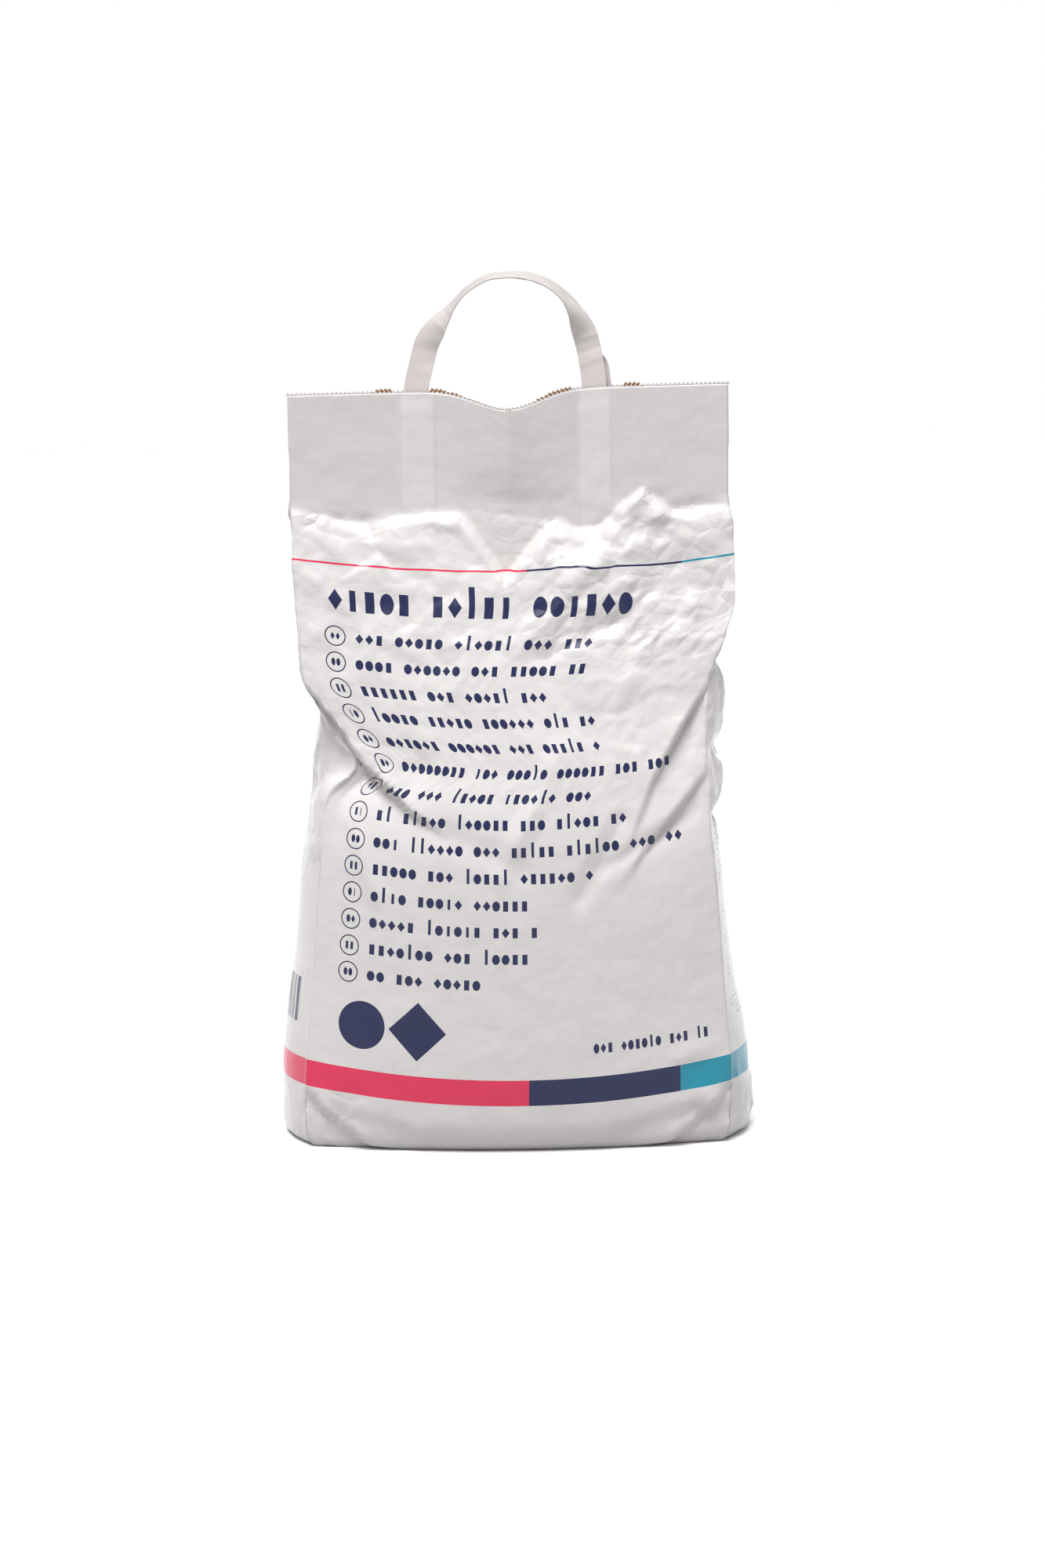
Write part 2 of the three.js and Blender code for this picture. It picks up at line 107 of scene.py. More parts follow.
def new_material(name, roughness, specular):
    """A material, its node tree and its shader."""
    made = bpy.data.materials.new(name)
    made.use_nodes = True
    shader = made.node_tree.nodes["Principled BSDF"]
    shader.inputs["Roughness"].default_value = roughness
    shader.inputs["Specular IOR Level"].default_value = specular
    return made, made.node_tree, shader


def seen_rays(tree):
    """1 for the rays that see the background: straight, mirrored or through glass."""
    light_path = add_node(tree, "ShaderNodeLightPath")
    seen = light_path.outputs["Is Camera Ray"]
    for kind in ("Is Glossy Ray", "Is Transmission Ray"):
        seen = add_node(tree, "ShaderNodeMath", {0: seen, 1: light_path.outputs[kind]},
                        operation="MAXIMUM").outputs[0]
    return seen


floor_mesh = bpy.data.meshes.new("studio_floor")
FLOOR_HALF = 6.0
floor_mesh.from_pydata(
    [(-FLOOR_HALF, -FLOOR_HALF, 0), (FLOOR_HALF, -FLOOR_HALF, 0),
     (FLOOR_HALF, FLOOR_HALF, 0), (-FLOOR_HALF, FLOOR_HALF, 0)],
    [], [(0, 1, 2, 3)],
)
floor = new_object("studio_floor", floor_mesh)
# White painted board: matt. The colour that lights the sack from below is a light grey.
FLOOR_LIT, FLOOR_SEEN = "#B0B0B0", "#FFFFFF"
floor_paint, floor_tree, floor_shader = new_material("white_painted_board", 0.9, 0.2)
floor_colour = mixed(floor_tree, seen_rays(floor_tree), linear(FLOOR_LIT), linear(FLOOR_SEEN))
floor_tree.links.new(floor_colour, floor_shader.inputs["Base Color"])
floor_mesh.materials.append(floor_paint)

world = bpy.data.worlds.new("white_studio")
world.use_nodes = True
bpy.context.scene.world = world
world_tree = world.node_tree
world_tree.nodes.clear()
AMBIENT = 0.25
WHITE = (1, 1, 1, 1)
fill = add_node(world_tree, "ShaderNodeBackground", {"Color": WHITE, "Strength": AMBIENT})
backdrop = add_node(world_tree, "ShaderNodeBackground", {"Color": WHITE, "Strength": 1.0})
either = add_node(world_tree, "ShaderNodeMixShader", {
    0: seen_rays(world_tree), 1: fill.outputs[0], 2: backdrop.outputs[0]})
add_node(world_tree, "ShaderNodeOutputWorld", {"Surface": either.outputs[0]})


# How wide each soft light looks, in degrees
SOFTBOX_SPREAD = 34


def soft_sun(name, towards, energy):
    """A wide soft light that is equally strong everywhere."""
    lamp_data = bpy.data.lights.new(name, "SUN")
    lamp_data.energy = energy
    lamp_data.angle = math.radians(SOFTBOX_SPREAD)
    lamp = new_object(name, lamp_data)
    lamp.rotation_euler = (-Vector(towards)).to_track_quat("-Z", "Y").to_euler()


soft_sun("overhead_softbox", (-0.11, -0.3, 0.94), 3.6)
soft_sun("upper_left_softbox", (-0.33, -0.6, 0.73), 0.22)
soft_sun("upper_right_softbox", (0.42, -0.42, 0.8), 0.3)
soft_sun("front_left_softbox", (-0.55, -0.75, 0.37), 0.08)
soft_sun("back_softbox", (0.2, 0.95, 0.25), 1.0)

# Paper sack
# The outer ply of the sack: white coated paper, printed, folded to a tube with side gussets,
# glued shut at the foot and pressed flat at the mouth. It is creased and crumpled where the
# filling ends and the paper goes over into the flat flap. The litter is sealed inside.
PANEL_WIDTH = 270.0
GUSSET_WIDTH = 100.0
SHOULDER = 395.0
MOUTH = 466.0
MOUTH_DIP = 12.0
MOUTH_DIP_HALF_WIDTH = 27.0
MOUTH_RISE = 2.0
FLAP_HALF = 3.2
GROOVE_HALF = 0.75
TUCK_X = PANEL_WIDTH / 2 - GUSSET_WIDTH / 2 + 1
PANEL_BULGE = 25.0
RIDGE_DEPTH = 11.0
RIDGE_REACH_DOWN = 0.12
RIDGE_HALF_WIDTH = TUCK_X / 2
RIDGE_TIP = 0.2
FOLD_LIP = 1.5
HALF_PANEL = PANEL_WIDTH / 2
HALF_GUSSET = GUSSET_WIDTH / 2
# Shares by which the back panel is narrower at its foot and at half height. It has a third of
# the front panel's dents.
FOOT_NARROWING = 0.02
BACK_NARROWING = 0.08
BACK_CALM = 3
TUBE = 2 * (PANEL_WIDTH + GUSSET_WIDTH)


def curve_through(points, at):
    """A smooth curve through [position, value] points, level past both ends."""
    place = np.array([p[0] for p in points], float)
    value = np.array([p[1] for p in points], float)
    slope = np.zeros(len(place))
    slope[1:-1] = (value[2:] - value[:-2]) / (place[2:] - place[:-2])
    at = np.clip(np.asarray(at, float), place[0], place[-1])
    i = np.clip(np.searchsorted(place, at, side="right") - 1, 0, len(place) - 2)
    span = place[i + 1] - place[i]
    t = (at - place[i]) / span
    t2, t3 = t * t, t * t * t
    return ((2 * t3 - 3 * t2 + 1) * value[i] + (t3 - 2 * t2 + t) * span * slope[i]
            + (3 * t2 - 2 * t3) * value[i + 1] + (t3 - t2) * span * slope[i + 1])


# Outline of the sack: the first numbers are heights as shares of the shoulder's height
LEFT_EDGE = [(0, 0.978), (0.14, 0.963), (0.28, 0.926), (0.42, 0.89), (0.5, 0.866), (0.557, 0.83),
             (0.603, 0.71), (0.645, 0.79), (0.7, 0.89), (0.74, 0.948), (0.81, 0.968),
             (0.92, 0.987), (1, 1)]
RIGHT_EDGE = [(0, 0.985), (0.14, 0.985), (0.25, 0.959), (0.42, 0.924), (0.52, 0.892),
              (0.6, 0.874), (0.66, 0.867), (0.72, 0.885), (0.76, 0.93), (0.81, 0.995),
              (0.85, 1.035), (0.92, 1.028), (0.97, 1.012), (1, 1)]
LEFT_BULGE = [(0, 1.104), (0.055, 1.104), (0.125, 1.09), (0.245, 1.052), (0.31, 1.019),
              (0.435, 0.984), (0.51, 0.943), (0.56, 0.918), (0.62, 0.908), (0.72, 0.9), (1, 0.86)]
RIGHT_BULGE = [(0, 1.104), (0.055, 1.104), (0.115, 1.087), (0.185, 1.06), (0.235, 1.026),
               (0.36, 0.98), (0.44, 0.955), (0.49, 0.941), (0.518, 0.909), (0.545, 0.952),
               (0.585, 0.952), (0.618, 0.921), (0.645, 0.958), (0.714, 0.983), (0.75, 0.965),
               (0.8, 0.92), (1, 0.88)]
LEFT_TUCK = [(0.64, 0), (0.7, 0.16), (0.78, 0.5), (0.86, 0.8), (1, 1)]
RIGHT_TUCK = [(0.72, 0), (0.77, 0.14), (0.82, 0.5), (0.88, 0.82), (1, 1)]
EDGE_DEPTH = [(0, 0.92), (0.05, 0.94), (0.15, 0.94), (0.38, 0.92), (0.5, 0.88), (0.58, 0.79),
              (0.66, 0.66), (0.76, 0.49), (0.85, 0.33), (0.92, 0.2), (0.97, 0.1), (0.985, 0.06),
              (1, 0)]
BULGE = [(0, 0.7), (0.05, 0.87), (0.15, 0.97), (0.28, 1), (0.42, 0.99), (0.5, 0.925),
         (0.58, 0.79), (0.66, 0.64), (0.76, 0.456), (0.85, 0.3), (0.92, 0.18), (0.97, 0.085),
         (0.985, 0.05), (1, 0)]
RIDGE = [(0, 0.5), (0.5, 0.85), (1, 1)]
FOOT_INSET = [(0, 6), (2.5, 3), (7, 1), (14, 0)]

# Folds of the front panel as x, z of both ends, reach to each side, and depth: a positive
# depth is a valley and a negative one a ridge
FRONT_FOLDS = [
    (-134, 384, -55, 375, 12, -2), (132, 385, 78, 392, 13, -3), (74, 393, 36, 350, 13, -4),
    (-38, 198, 6, 176, 12, 1.5), (66, 206, 40, 160, 9, 2.2), (118, 214, 55, 177, 7, 2.2),
    (-100, 206, -84, 160, 8, -1.5), (12, 215, -8, 176, 9, -1.2), (30, 250, 4, 196, 10, -1.2),
    (-112, 22, -70, 12, 9, 2), (112, 22, 62, 10, 9, 2), (128, 66, 100, 58, 7, -1.5),
]
BACK_FOLDS = [
    (117, 276, 44, 205, 17, 5), (-120, 280, -60, 213, 17, 5), (-60, 371, 30, 351, 16, 4),
    (128, 40, 92, 4, 14, 3), (-130, 42, -94, 4, 14, 3),
]


# Folds where the upper paper hangs over the lower: points of the line, drop below it, reach of
# the drop, and height of the rounded lip above it
FRONT_SHELVES = [
    ([(-137, 300), (-128, 290), (-106, 262), (-87, 237), (-64, 215), (-38, 198)], 12, 30, 4),
    ([(140, 318), (131, 302), (103, 261), (85, 230), (69, 190)], 8, 24, 2.5),
    ([(-139, 50), (-120, 26), (-93, 3), (-70, 0)], 4, 16, 1.4),
    ([(139, 50), (121, 26), (94, 3), (70, 0)], 4, 16, 1.4),
    ([(128, 244), (112, 226), (92, 202), (76, 184), (62, 164)], 4.5, 16, 2),
]
SHELF_STEP = 2.2
LIP_REACH = 13.0
# How fast folds and shelves come in from the panel's edges, the share of a shelf's drop at an
# edge, and how fast it runs out at its far end
FOLD_FADE, SHELF_FADE, SHELF_AT_EDGE, SHELF_RUNS_OUT = 5, 8, 0.35, 2.2


def shelf_depth(shelves, x, z):
    """How deep the overhanging folds press a panel in at each point."""
    depth = np.zeros(np.broadcast(x, z).shape)
    for line, drop, reach, lip in shelves:
        nearest = np.full(depth.shape, np.inf)
        signed = np.zeros(depth.shape)
        along_line = np.zeros(depth.shape)
        for k, ((x1, z1), (x2, z2)) in enumerate(zip(line, line[1:])):
            length = math.hypot(x2 - x1, z2 - z1)
            side_sign = 1 if x2 > x1 else -1
            share = ((x - x1) * (x2 - x1) + (z - z1) * (z2 - z1)) / length ** 2
            held = np.clip(share, 0, 1)
            distance = np.hypot(x - x1 - held * (x2 - x1), z - z1 - held * (z2 - z1))
            below = side_sign * ((x - x1) * (z2 - z1) - (z - z1) * (x2 - x1)) / length
            closer = distance < nearest
            nearest = np.where(closer, distance, nearest)
            signed = np.where(closer, np.sign(below) * distance, signed)
            along_line = np.where(closer, (k + held) / (len(line) - 1), along_line)
        strength = np.clip((1 - along_line) * SHELF_RUNS_OUT, 0, 1)
        under = np.clip(signed / SHELF_STEP, 0, 1) * np.exp(-np.maximum(signed, 0) / reach)
        over = np.exp(-np.abs(np.minimum(signed, 0)) / LIP_REACH) * (signed <= SHELF_STEP)
        depth += strength * (drop * under - lip * over * (1 - np.clip(signed / SHELF_STEP, 0, 1)))
    return depth


def fold_depth(folds, x, z):
    """How deep the folds press a panel in at each point."""
    depth = np.zeros(np.broadcast(x, z).shape)
    for x1, z1, x2, z2, reach, deepest in folds:
        along = ((x - x1) * (x2 - x1) + (z - z1) * (z2 - z1)) / ((x2 - x1) ** 2 + (z2 - z1) ** 2)
        along = np.clip(along, 0, 1)
        distance = np.hypot(x - x1 - along * (x2 - x1), z - z1 - along * (z2 - z1))
        depth += deepest * np.maximum(0, 1 - distance / reach)
    return depth


SIDE_COLUMNS = 24
MIDDLE_COLUMNS = 124
side = np.linspace(0, 1, SIDE_COLUMNS, endpoint=False)
panel_columns = np.concatenate([
    -HALF_PANEL + (HALF_PANEL - TUCK_X) * side,
    np.linspace(-TUCK_X, TUCK_X, MIDDLE_COLUMNS + 1),
    (HALF_PANEL - (HALF_PANEL - TUCK_X) * side)[::-1],
])
gusset_across = np.linspace(-1, 1, 2 * SIDE_COLUMNS + 1)

body_heights = np.concatenate([
    [0, 1.5, 3.2, 5.5, 9, 13.5], np.arange(18, 60, 3.5), np.arange(60, 180, 4),
    np.arange(180, 240, 2.6), np.arange(240, 394, 1.6),
])
flap_shares = np.linspace(0, 1, 34)


def mouth_z(x):
    """Height of the pinked edge over the width of the flap."""
    return MOUTH + MOUTH_RISE * x / HALF_PANEL - MOUTH_DIP * np.exp(-(x / MOUTH_DIP_HALF_WIDTH) ** 2)


def flap_middle_y(x, share):
    """Middle surface of the flap: flat, with a ridge towards the front in its middle."""
    tent = np.maximum(0, 1 - np.abs(x) / RIDGE_HALF_WIDTH)
    return -RIDGE_DEPTH * curve_through(RIDGE, share) * tent


def gusset(side, front_x, back_x, middle_x, lip_y, tuck):
    """Points of one gusset from front to back, for columns of levels."""
    across = gusset_across[None, :]
    edge = front_x + (back_x - front_x) * (across + 1) / 2
    share = (1 - across ** 2) * (1 - tuck) + (1 - np.abs(across)) * tuck
    return side * (edge + (middle_x - edge) * share), across * lip_y


def body_rings(z):
    """Rings of the filled part, as an array of rows, columns and x, y, z."""
    z = z[:, None]
    level = z / SHOULDER
    left = HALF_PANEL * curve_through(LEFT_EDGE, level)
    right = HALF_PANEL * curve_through(RIGHT_EDGE, level)
    even = HALF_PANEL * (1 - FOOT_NARROWING * (1 - level)
                         - BACK_NARROWING * np.sin(math.pi * level))
    back_left = even + (left - even) / BACK_CALM
    back_right = even + (right - even) / BACK_CALM
    edge_y = FLAP_HALF + (HALF_GUSSET - FLAP_HALF) * curve_through(EDGE_DEPTH, level)
    bulge = PANEL_BULGE * curve_through(BULGE, level)
    ridge_rise = np.maximum(0, 1 - (1 - level) / RIDGE_REACH_DOWN)

    def panel(from_x, to_x, side, folds):
        across = panel_columns[None, :] / HALF_PANEL
        x = from_x + (to_x - from_x) * (across + 1) / 2
        tent_half = RIDGE_HALF_WIDTH * (RIDGE_TIP + (1 - RIDGE_TIP) * ridge_rise)
        tent = np.maximum(0, 1 - np.abs(x) / tent_half)
        ridge = RIDGE_DEPTH * RIDGE[0][1] * ridge_rise * tent
        from_edge = 1 - np.abs(across)
        pressed = fold_depth(folds, x, z) * np.minimum(1, from_edge * FOLD_FADE)
        if side < 0:
            shelves = shelf_depth(FRONT_SHELVES, x, z)
            pressed = pressed + shelves * np.minimum(1, SHELF_AT_EDGE + from_edge * SHELF_FADE)
        return x, side * (edge_y + bulge * (1 - across ** 2) - pressed) - ridge

    def gusset_between(side, front_x, back_x, bulge_points, tuck_points):
        tuck = curve_through(tuck_points, level)
        lip_y = edge_y - FOLD_LIP - (FLAP_HALF - GROOVE_HALF - FOLD_LIP) * tuck
        bulge_x = HALF_PANEL * curve_through(bulge_points, level)
        return gusset(side, front_x, back_x, bulge_x + (TUCK_X - bulge_x) * tuck, lip_y, tuck)

    parts = [
        panel(-left, right, -1, FRONT_FOLDS),
        gusset_between(1, right, back_right, RIGHT_BULGE, RIGHT_TUCK),
        [part[:, ::-1] for part in panel(-back_left, back_right, 1, BACK_FOLDS)],
        [part[:, ::-1] for part in gusset_between(-1, left, back_left, LEFT_BULGE, LEFT_TUCK)],
    ]
    x = np.concatenate([part[0] for part in parts], axis=1)
    y = np.concatenate([part[1] for part in parts], axis=1)
    inset = curve_through(FOOT_INSET, z)
    x = x * (1 - inset / (HALF_PANEL + inset))
    y = y * (1 - inset / (HALF_GUSSET + inset))
    return np.stack([x, y, np.broadcast_to(z, x.shape)], axis=2)


def flap_rings(share, half_thickness=FLAP_HALF, groove_half=GROOVE_HALF, tuck_x=TUCK_X,
               half_width=HALF_PANEL):
    """Rings of the flap. A smaller thickness and width give its inner faces."""
    share = share[:, None]
    columns = panel_columns[None, :] * half_width / HALF_PANEL
    across = np.abs(gusset_across)[None, :]
    groove_x = half_width + (tuck_x - half_width) * (1 - across)
    groove_y = gusset_across[None, :] * groove_half
    parts = [
        (columns, flap_middle_y(columns, share) - half_thickness),
        (groove_x, groove_y),
        (columns[:, ::-1], (flap_middle_y(columns, share) + half_thickness)[:, ::-1]),
        (-groove_x[:, ::-1], groove_y[:, ::-1]),
    ]
    shape = (len(share), 1)
    x = np.concatenate([np.broadcast_to(p[0], (len(share), p[0].shape[1])) for p in parts], axis=1)
    y = np.concatenate([np.broadcast_to(p[1], (len(share), p[1].shape[1])) for p in parts], axis=1)
    z = SHOULDER + share * (mouth_z(x) - SHOULDER)
    return np.stack([x, y, z], axis=2)


smooth_rings = np.concatenate([body_rings(body_heights), flap_rings(flap_shares)])
column_count = smooth_rings.shape[1]

# The shoulder crease of the front panel isn't level: it dips beside the middle and rises on the
# right, where a fold of the filling stands up against the flap. In the middle the flap runs on
# down into the shoulder as a flat dart that ends in a point.
SHOULDER_CREASE = [(-136, 396), (-118, 391), (-96, 386), (-72, 386), (-53, 389), (-20, 392),
                   (20, 384), (43, 376), (53, 380), (67, 393), (82, 405), (101, 390),
                   (111, 392), (137, 395)]
CREASE_FADES = 60.0
DART_TOP, DART_TIP = 424.0, 347.0
DART_LEFT, DART_RIGHT, DART_TIP_X = -54.0, 58.0, -3.0
DART_EDGE, DART_LEAN, DART_ENDS, DART_FADE = 3.5, 0.1, SHOULDER + 10, 8
for column in range(len(panel_columns)):
    x, y, z = smooth_rings[:, column, 0], smooth_rings[:, column, 1], smooth_rings[:, column, 2]
    crease = np.interp(x[-1], *zip(*SHOULDER_CREASE))
    fade = np.clip(1 - np.abs(z - SHOULDER) / CREASE_FADES, 0, 1)
    from_z = np.clip(z - (crease - SHOULDER) * fade, z[0], z[-1])
    moved = np.interp(from_z, z, y)
    middle = flap_middle_y(x, np.clip((z - SHOULDER) / (MOUTH - SHOULDER), 0, 1))
    y[:] = np.where(z > SHOULDER, np.minimum(moved, middle - FLAP_HALF), moved)
panel = smooth_rings[:, :len(panel_columns)]
share = (panel[..., 2] - DART_TIP) / (DART_TOP - DART_TIP)
dart_left = DART_TIP_X + (DART_LEFT - DART_TIP_X) * share
dart_right = DART_TIP_X + (DART_RIGHT - DART_TIP_X) * share
inside = np.minimum(panel[..., 0] - dart_left, dart_right - panel[..., 0])
flap_share = np.clip((panel[..., 2] - SHOULDER) / (MOUTH - SHOULDER), 0, 1)
flat_y = flap_middle_y(panel[..., 0], flap_share) - FLAP_HALF
dart_y = flat_y - DART_LEAN * np.maximum(SHOULDER - panel[..., 2], 0)
dented = (np.clip(inside / DART_EDGE, 0, 1) * (share > 0)
          * np.clip((DART_ENDS - panel[..., 2]) / DART_FADE, 0, 1))
panel[..., 1] += np.maximum(dart_y - panel[..., 1], 0) * dented
panel_count = len(panel_columns)
gusset_count = len(gusset_across)

# Flat paper coordinates: u runs round the tube from the middle of the front panel, and v up it.
# The filling pulls the middle of both panels down, so the print sags there.
PRINT_SAG = 9.5
flat_u = np.concatenate([
    panel_columns,
    HALF_PANEL + HALF_GUSSET * (gusset_across + 1),
    HALF_PANEL + GUSSET_WIDTH + HALF_PANEL + panel_columns,
    3 * HALF_PANEL + GUSSET_WIDTH + HALF_GUSSET * (gusset_across + 1),
])
steps = np.linalg.norm(np.diff(smooth_rings[:, SIDE_COLUMNS:-SIDE_COLUMNS], axis=0), axis=2)
row_v = np.concatenate([[0], np.cumsum(steps[:, :MIDDLE_COLUMNS].mean(axis=1))])
panel_sag = PRINT_SAG * (1 - (panel_columns / HALF_PANEL) ** 2)
no_sag = np.zeros(gusset_count)
flat_v = row_v[:, None] + np.concatenate([panel_sag, no_sag, panel_sag, no_sag])[None, :]
SHOULDER_V = float(row_v[len(body_heights)])


def crumpled(seed, u, v, spacing, height):
    """Height of crumpled paper over a grid: flat facets between random corners.

    u rises along each row, and v differs little within one."""
    rng = np.random.default_rng(seed)
    low = np.array([u.min(), v.min()]) - spacing
    high = np.array([u.max(), v.max()]) + spacing
    counts = np.ceil((high - low) / spacing).astype(int)
    grid = np.stack(np.meshgrid(*[np.arange(n) for n in counts], indexing="ij"), -1).reshape(-1, 2)
    corners = low + (grid + 0.5 + rng.uniform(-0.48, 0.48, grid.shape)) * spacing
    heights = rng.uniform(-1, 1, len(corners)) * height
    made = delaunay_2d_cdt([Vector(c) for c in corners], [], [], 0, 1e-6)
    places = np.array([p[:] for p in made[0]])
    heights = heights[[sources[0] for sources in made[3]]]
    row_low, row_high = v.min(axis=1), v.max(axis=1)
    out = np.zeros(v.shape)
    for face in made[2]:
        corner = places[list(face)]
        a, ab, ac = corner[0], corner[1] - corner[0], corner[2] - corner[0]
        area = ab[0] * ac[1] - ab[1] * ac[0]
        columns = slice(*np.searchsorted(u, [corner[:, 0].min(), corner[:, 0].max()]))
        rows = slice(np.searchsorted(row_high, corner[:, 1].min()),
                     np.searchsorted(row_low, corner[:, 1].max()))
        away_u = u[None, columns] - a[0]
        away_v = v[rows, columns] - a[1]
        share_b = (away_u * ac[1] - away_v * ac[0]) / area
        share_c = (ab[0] * away_v - ab[1] * away_u) / area
        within = (share_b >= 0) & (share_c >= 0) & (share_b + share_c <= 1)
        h = heights[list(face)]
        facet = h[0] + share_b * (h[1] - h[0]) + share_c * (h[2] - h[0])
        out[rows, columns] = np.where(within, facet, out[rows, columns])
    return out


def bump_between(value, low, high, soft):
    """1 between low and high, fading to 0 over a soft distance."""
    return np.clip((value - low) / soft + 1, 0, 1) * np.clip((high - value) / soft + 1, 0, 1)


def outward(points):
    """Unit normals of a grid of rings."""
    along = np.roll(points, -1, axis=1) - np.roll(points, 1, axis=1)
    up = np.gradient(points, axis=0)
    normal = np.cross(along, up)
    return normal / np.maximum(np.linalg.norm(normal, axis=2, keepdims=True), 1e-9)


# Crumples: strongest below the shoulder crease on the right, weak in the smooth parts, and none
# on the glued flap. A zone is from, to and soft edge.
SHOULDER_ZONE, RIGHT_ZONE, LEFT_STRENGTH = (312, 388, 26), (20, 134, 34), 0.45
CREASE_DROP, CREASE_REACH, CREASE_CLEAR, CREASE_STRENGTH = 5, 15, 30, 0.95
BELLY_ZONE, BELLY_STRENGTH = (235, 320, 30), 0.34
GUSSET_ZONE, GUSSET_STRENGTH = (190, 370, 40), 0.6
FOOT_ZONE, CORNER_ZONE, CORNER_STRENGTH = (8, 30, 20), (104, 155, 16), 0.6
CALM_STRENGTH, FLAP_STRENGTH, FLAP_STARTS, FLAP_SOFT = 0.05, 0.07, 1, 6
ring_x, ring_z = smooth_rings[..., 0], smooth_rings[..., 2]
front = (np.arange(column_count) < panel_count)[None, :]
crease_z = np.interp(ring_x, *zip(*SHOULDER_CREASE))
strong = bump_between(ring_z, *SHOULDER_ZONE) * (
    LEFT_STRENGTH + (1 - LEFT_STRENGTH) * bump_between(ring_x, *RIGHT_ZONE))
at_crease = np.clip(1 - np.abs(ring_z - crease_z + CREASE_DROP) / CREASE_REACH, 0, 1) * (
    np.abs(ring_x) > CREASE_CLEAR) * CREASE_STRENGTH
mild = bump_between(ring_z, *BELLY_ZONE) * BELLY_STRENGTH
sides = (~front) * bump_between(ring_z, *GUSSET_ZONE) * GUSSET_STRENGTH
foot = bump_between(ring_z, *FOOT_ZONE) * bump_between(np.abs(ring_x), *CORNER_ZONE)
crumple = np.maximum.reduce([
    strong, at_crease, mild, sides, foot * CORNER_STRENGTH, np.full_like(strong, CALM_STRENGTH)])
on_flap = np.clip((ring_z - crease_z - FLAP_STARTS) / FLAP_SOFT, 0, 1)
crumple = crumple * (1 - on_flap) + FLAP_STRENGTH * on_flap

# Each kind of crumple has its seed, the size of its facets and its height. The small ones come
# in patches.
PATCH_SEED, PATCH_SIZE, PATCH_SWING, PATCH_MIDDLE = 14, 42.0, 0.8, 0.75
PATCH_LEAST, PATCH_MOST = 0.2, 1.35
COARSE, FINE, FINEST = (11, 30.0, 4.2), (12, 12.5, 2.3), (13, 6.5, 1.0)
coarse, fine, finest = [
    crumpled(seed, flat_u, flat_v, size, height) for seed, size, height in (COARSE, FINE, FINEST)]
patches = PATCH_MIDDLE + PATCH_SWING * crumpled(PATCH_SEED, flat_u, flat_v, PATCH_SIZE, 1.0)
relief = (coarse + (fine + finest) * np.clip(patches, PATCH_LEAST, PATCH_MOST)) * crumple
# The dart is smooth, and so is a narrow strip beside it
DART_SMOOTH, DART_MARGIN, DART_SOFT = 0.85, 3, 4
relief[:, :panel_count] *= 1 - DART_SMOOTH * (share > 0) * (
    np.clip((inside + DART_MARGIN) / DART_SOFT, 0, 1))

# The legs of the tapes and the patches over them show through the flap as flat raised bands,
# and the seam of the tube as a band down the back
LEG_BANDS = [(-65.5, -46.0), (44.0, 62.0)]
BAND_RISE, BAND_EDGE, BAND_STARTS = 0.6, 1.8, 6
SEAM_FROM, SEAM_TO, SEAM_RISE, SEAM_STARTS = 352.0, 372.0, 0.35, 4
for low, high in LEG_BANDS:
    relief += BAND_RISE * front * bump_between(flat_u[None, :], low, high, BAND_EDGE) * (
        np.clip((ring_z - SHOULDER + BAND_STARTS) / BAND_STARTS, 0, 1))
relief += SEAM_RISE * bump_between(flat_u[None, :], SEAM_FROM, SEAM_TO, BAND_EDGE) * (
    ring_z > SEAM_STARTS)

# The relief doesn't lift the foot off the floor, and it ends below the pinked edge
FOOT_CALM, RIM_CALM, RIM_SOFT = 6, 14, 8
sack_points = smooth_rings + outward(smooth_rings) * relief[..., None]
lift = np.clip(ring_z / FOOT_CALM, 0, 1)
sack_points[..., 2] = ring_z + (sack_points[..., 2] - ring_z) * lift
rim = np.clip((ring_z - MOUTH + RIM_CALM) / RIM_SOFT, 0, 1)[..., None]
sack_points = sack_points * (1 - rim) + smooth_rings * rim


def grid_faces(rows, columns, offset=0, flip=False):
    """Quads between rings of points, closed round."""
    faces = []
    for r in range(rows - 1):
        for c in range(columns):
            a = offset + r * columns + c
            b = offset + r * columns + (c + 1) % columns
            quad = (a, b, b + columns, a + columns)
            faces.append(quad[::-1] if flip else quad)
    return faces


def cap_faces(offset, upwards):
    """Narrow quads across one end of the sack, from one panel to the other."""
    last = panel_count - 1
    back_right = panel_count + gusset_count
    back_left = back_right + last
    left_middle = back_left + 1 + SIDE_COLUMNS
    right_middle = last + 1 + SIDE_COLUMNS
    quads = []
    for k in range(SIDE_COLUMNS):
        quads.append((k, k + 1, column_count - 2 - k, column_count - 1 - k))
        quads.append((back_left + 1 + k, back_left + 2 + k, back_left - 1 - k, back_left - k))
        quads.append((last - k - 1, last - k, last + 1 + k, last + 2 + k))
        quads.append((back_right - 2 - k, back_right - 1 - k, back_right + k, back_right + 1 + k))
    inner, outer = SIDE_COLUMNS + 1, last - SIDE_COLUMNS - 1
    quads.append((left_middle, SIDE_COLUMNS, inner, back_left - inner, back_left - SIDE_COLUMNS))
    quads += [(k, k + 1, back_left - k - 1, back_left - k) for k in range(inner, outer)]
    quads.append((outer, last - SIDE_COLUMNS, right_middle, back_right + SIDE_COLUMNS,
                  back_right + inner))
    made = []
    for quad in quads:
        corners = [offset + k for k in dict.fromkeys(quad)]
        made.append(corners if upwards else corners[::-1])
    return made


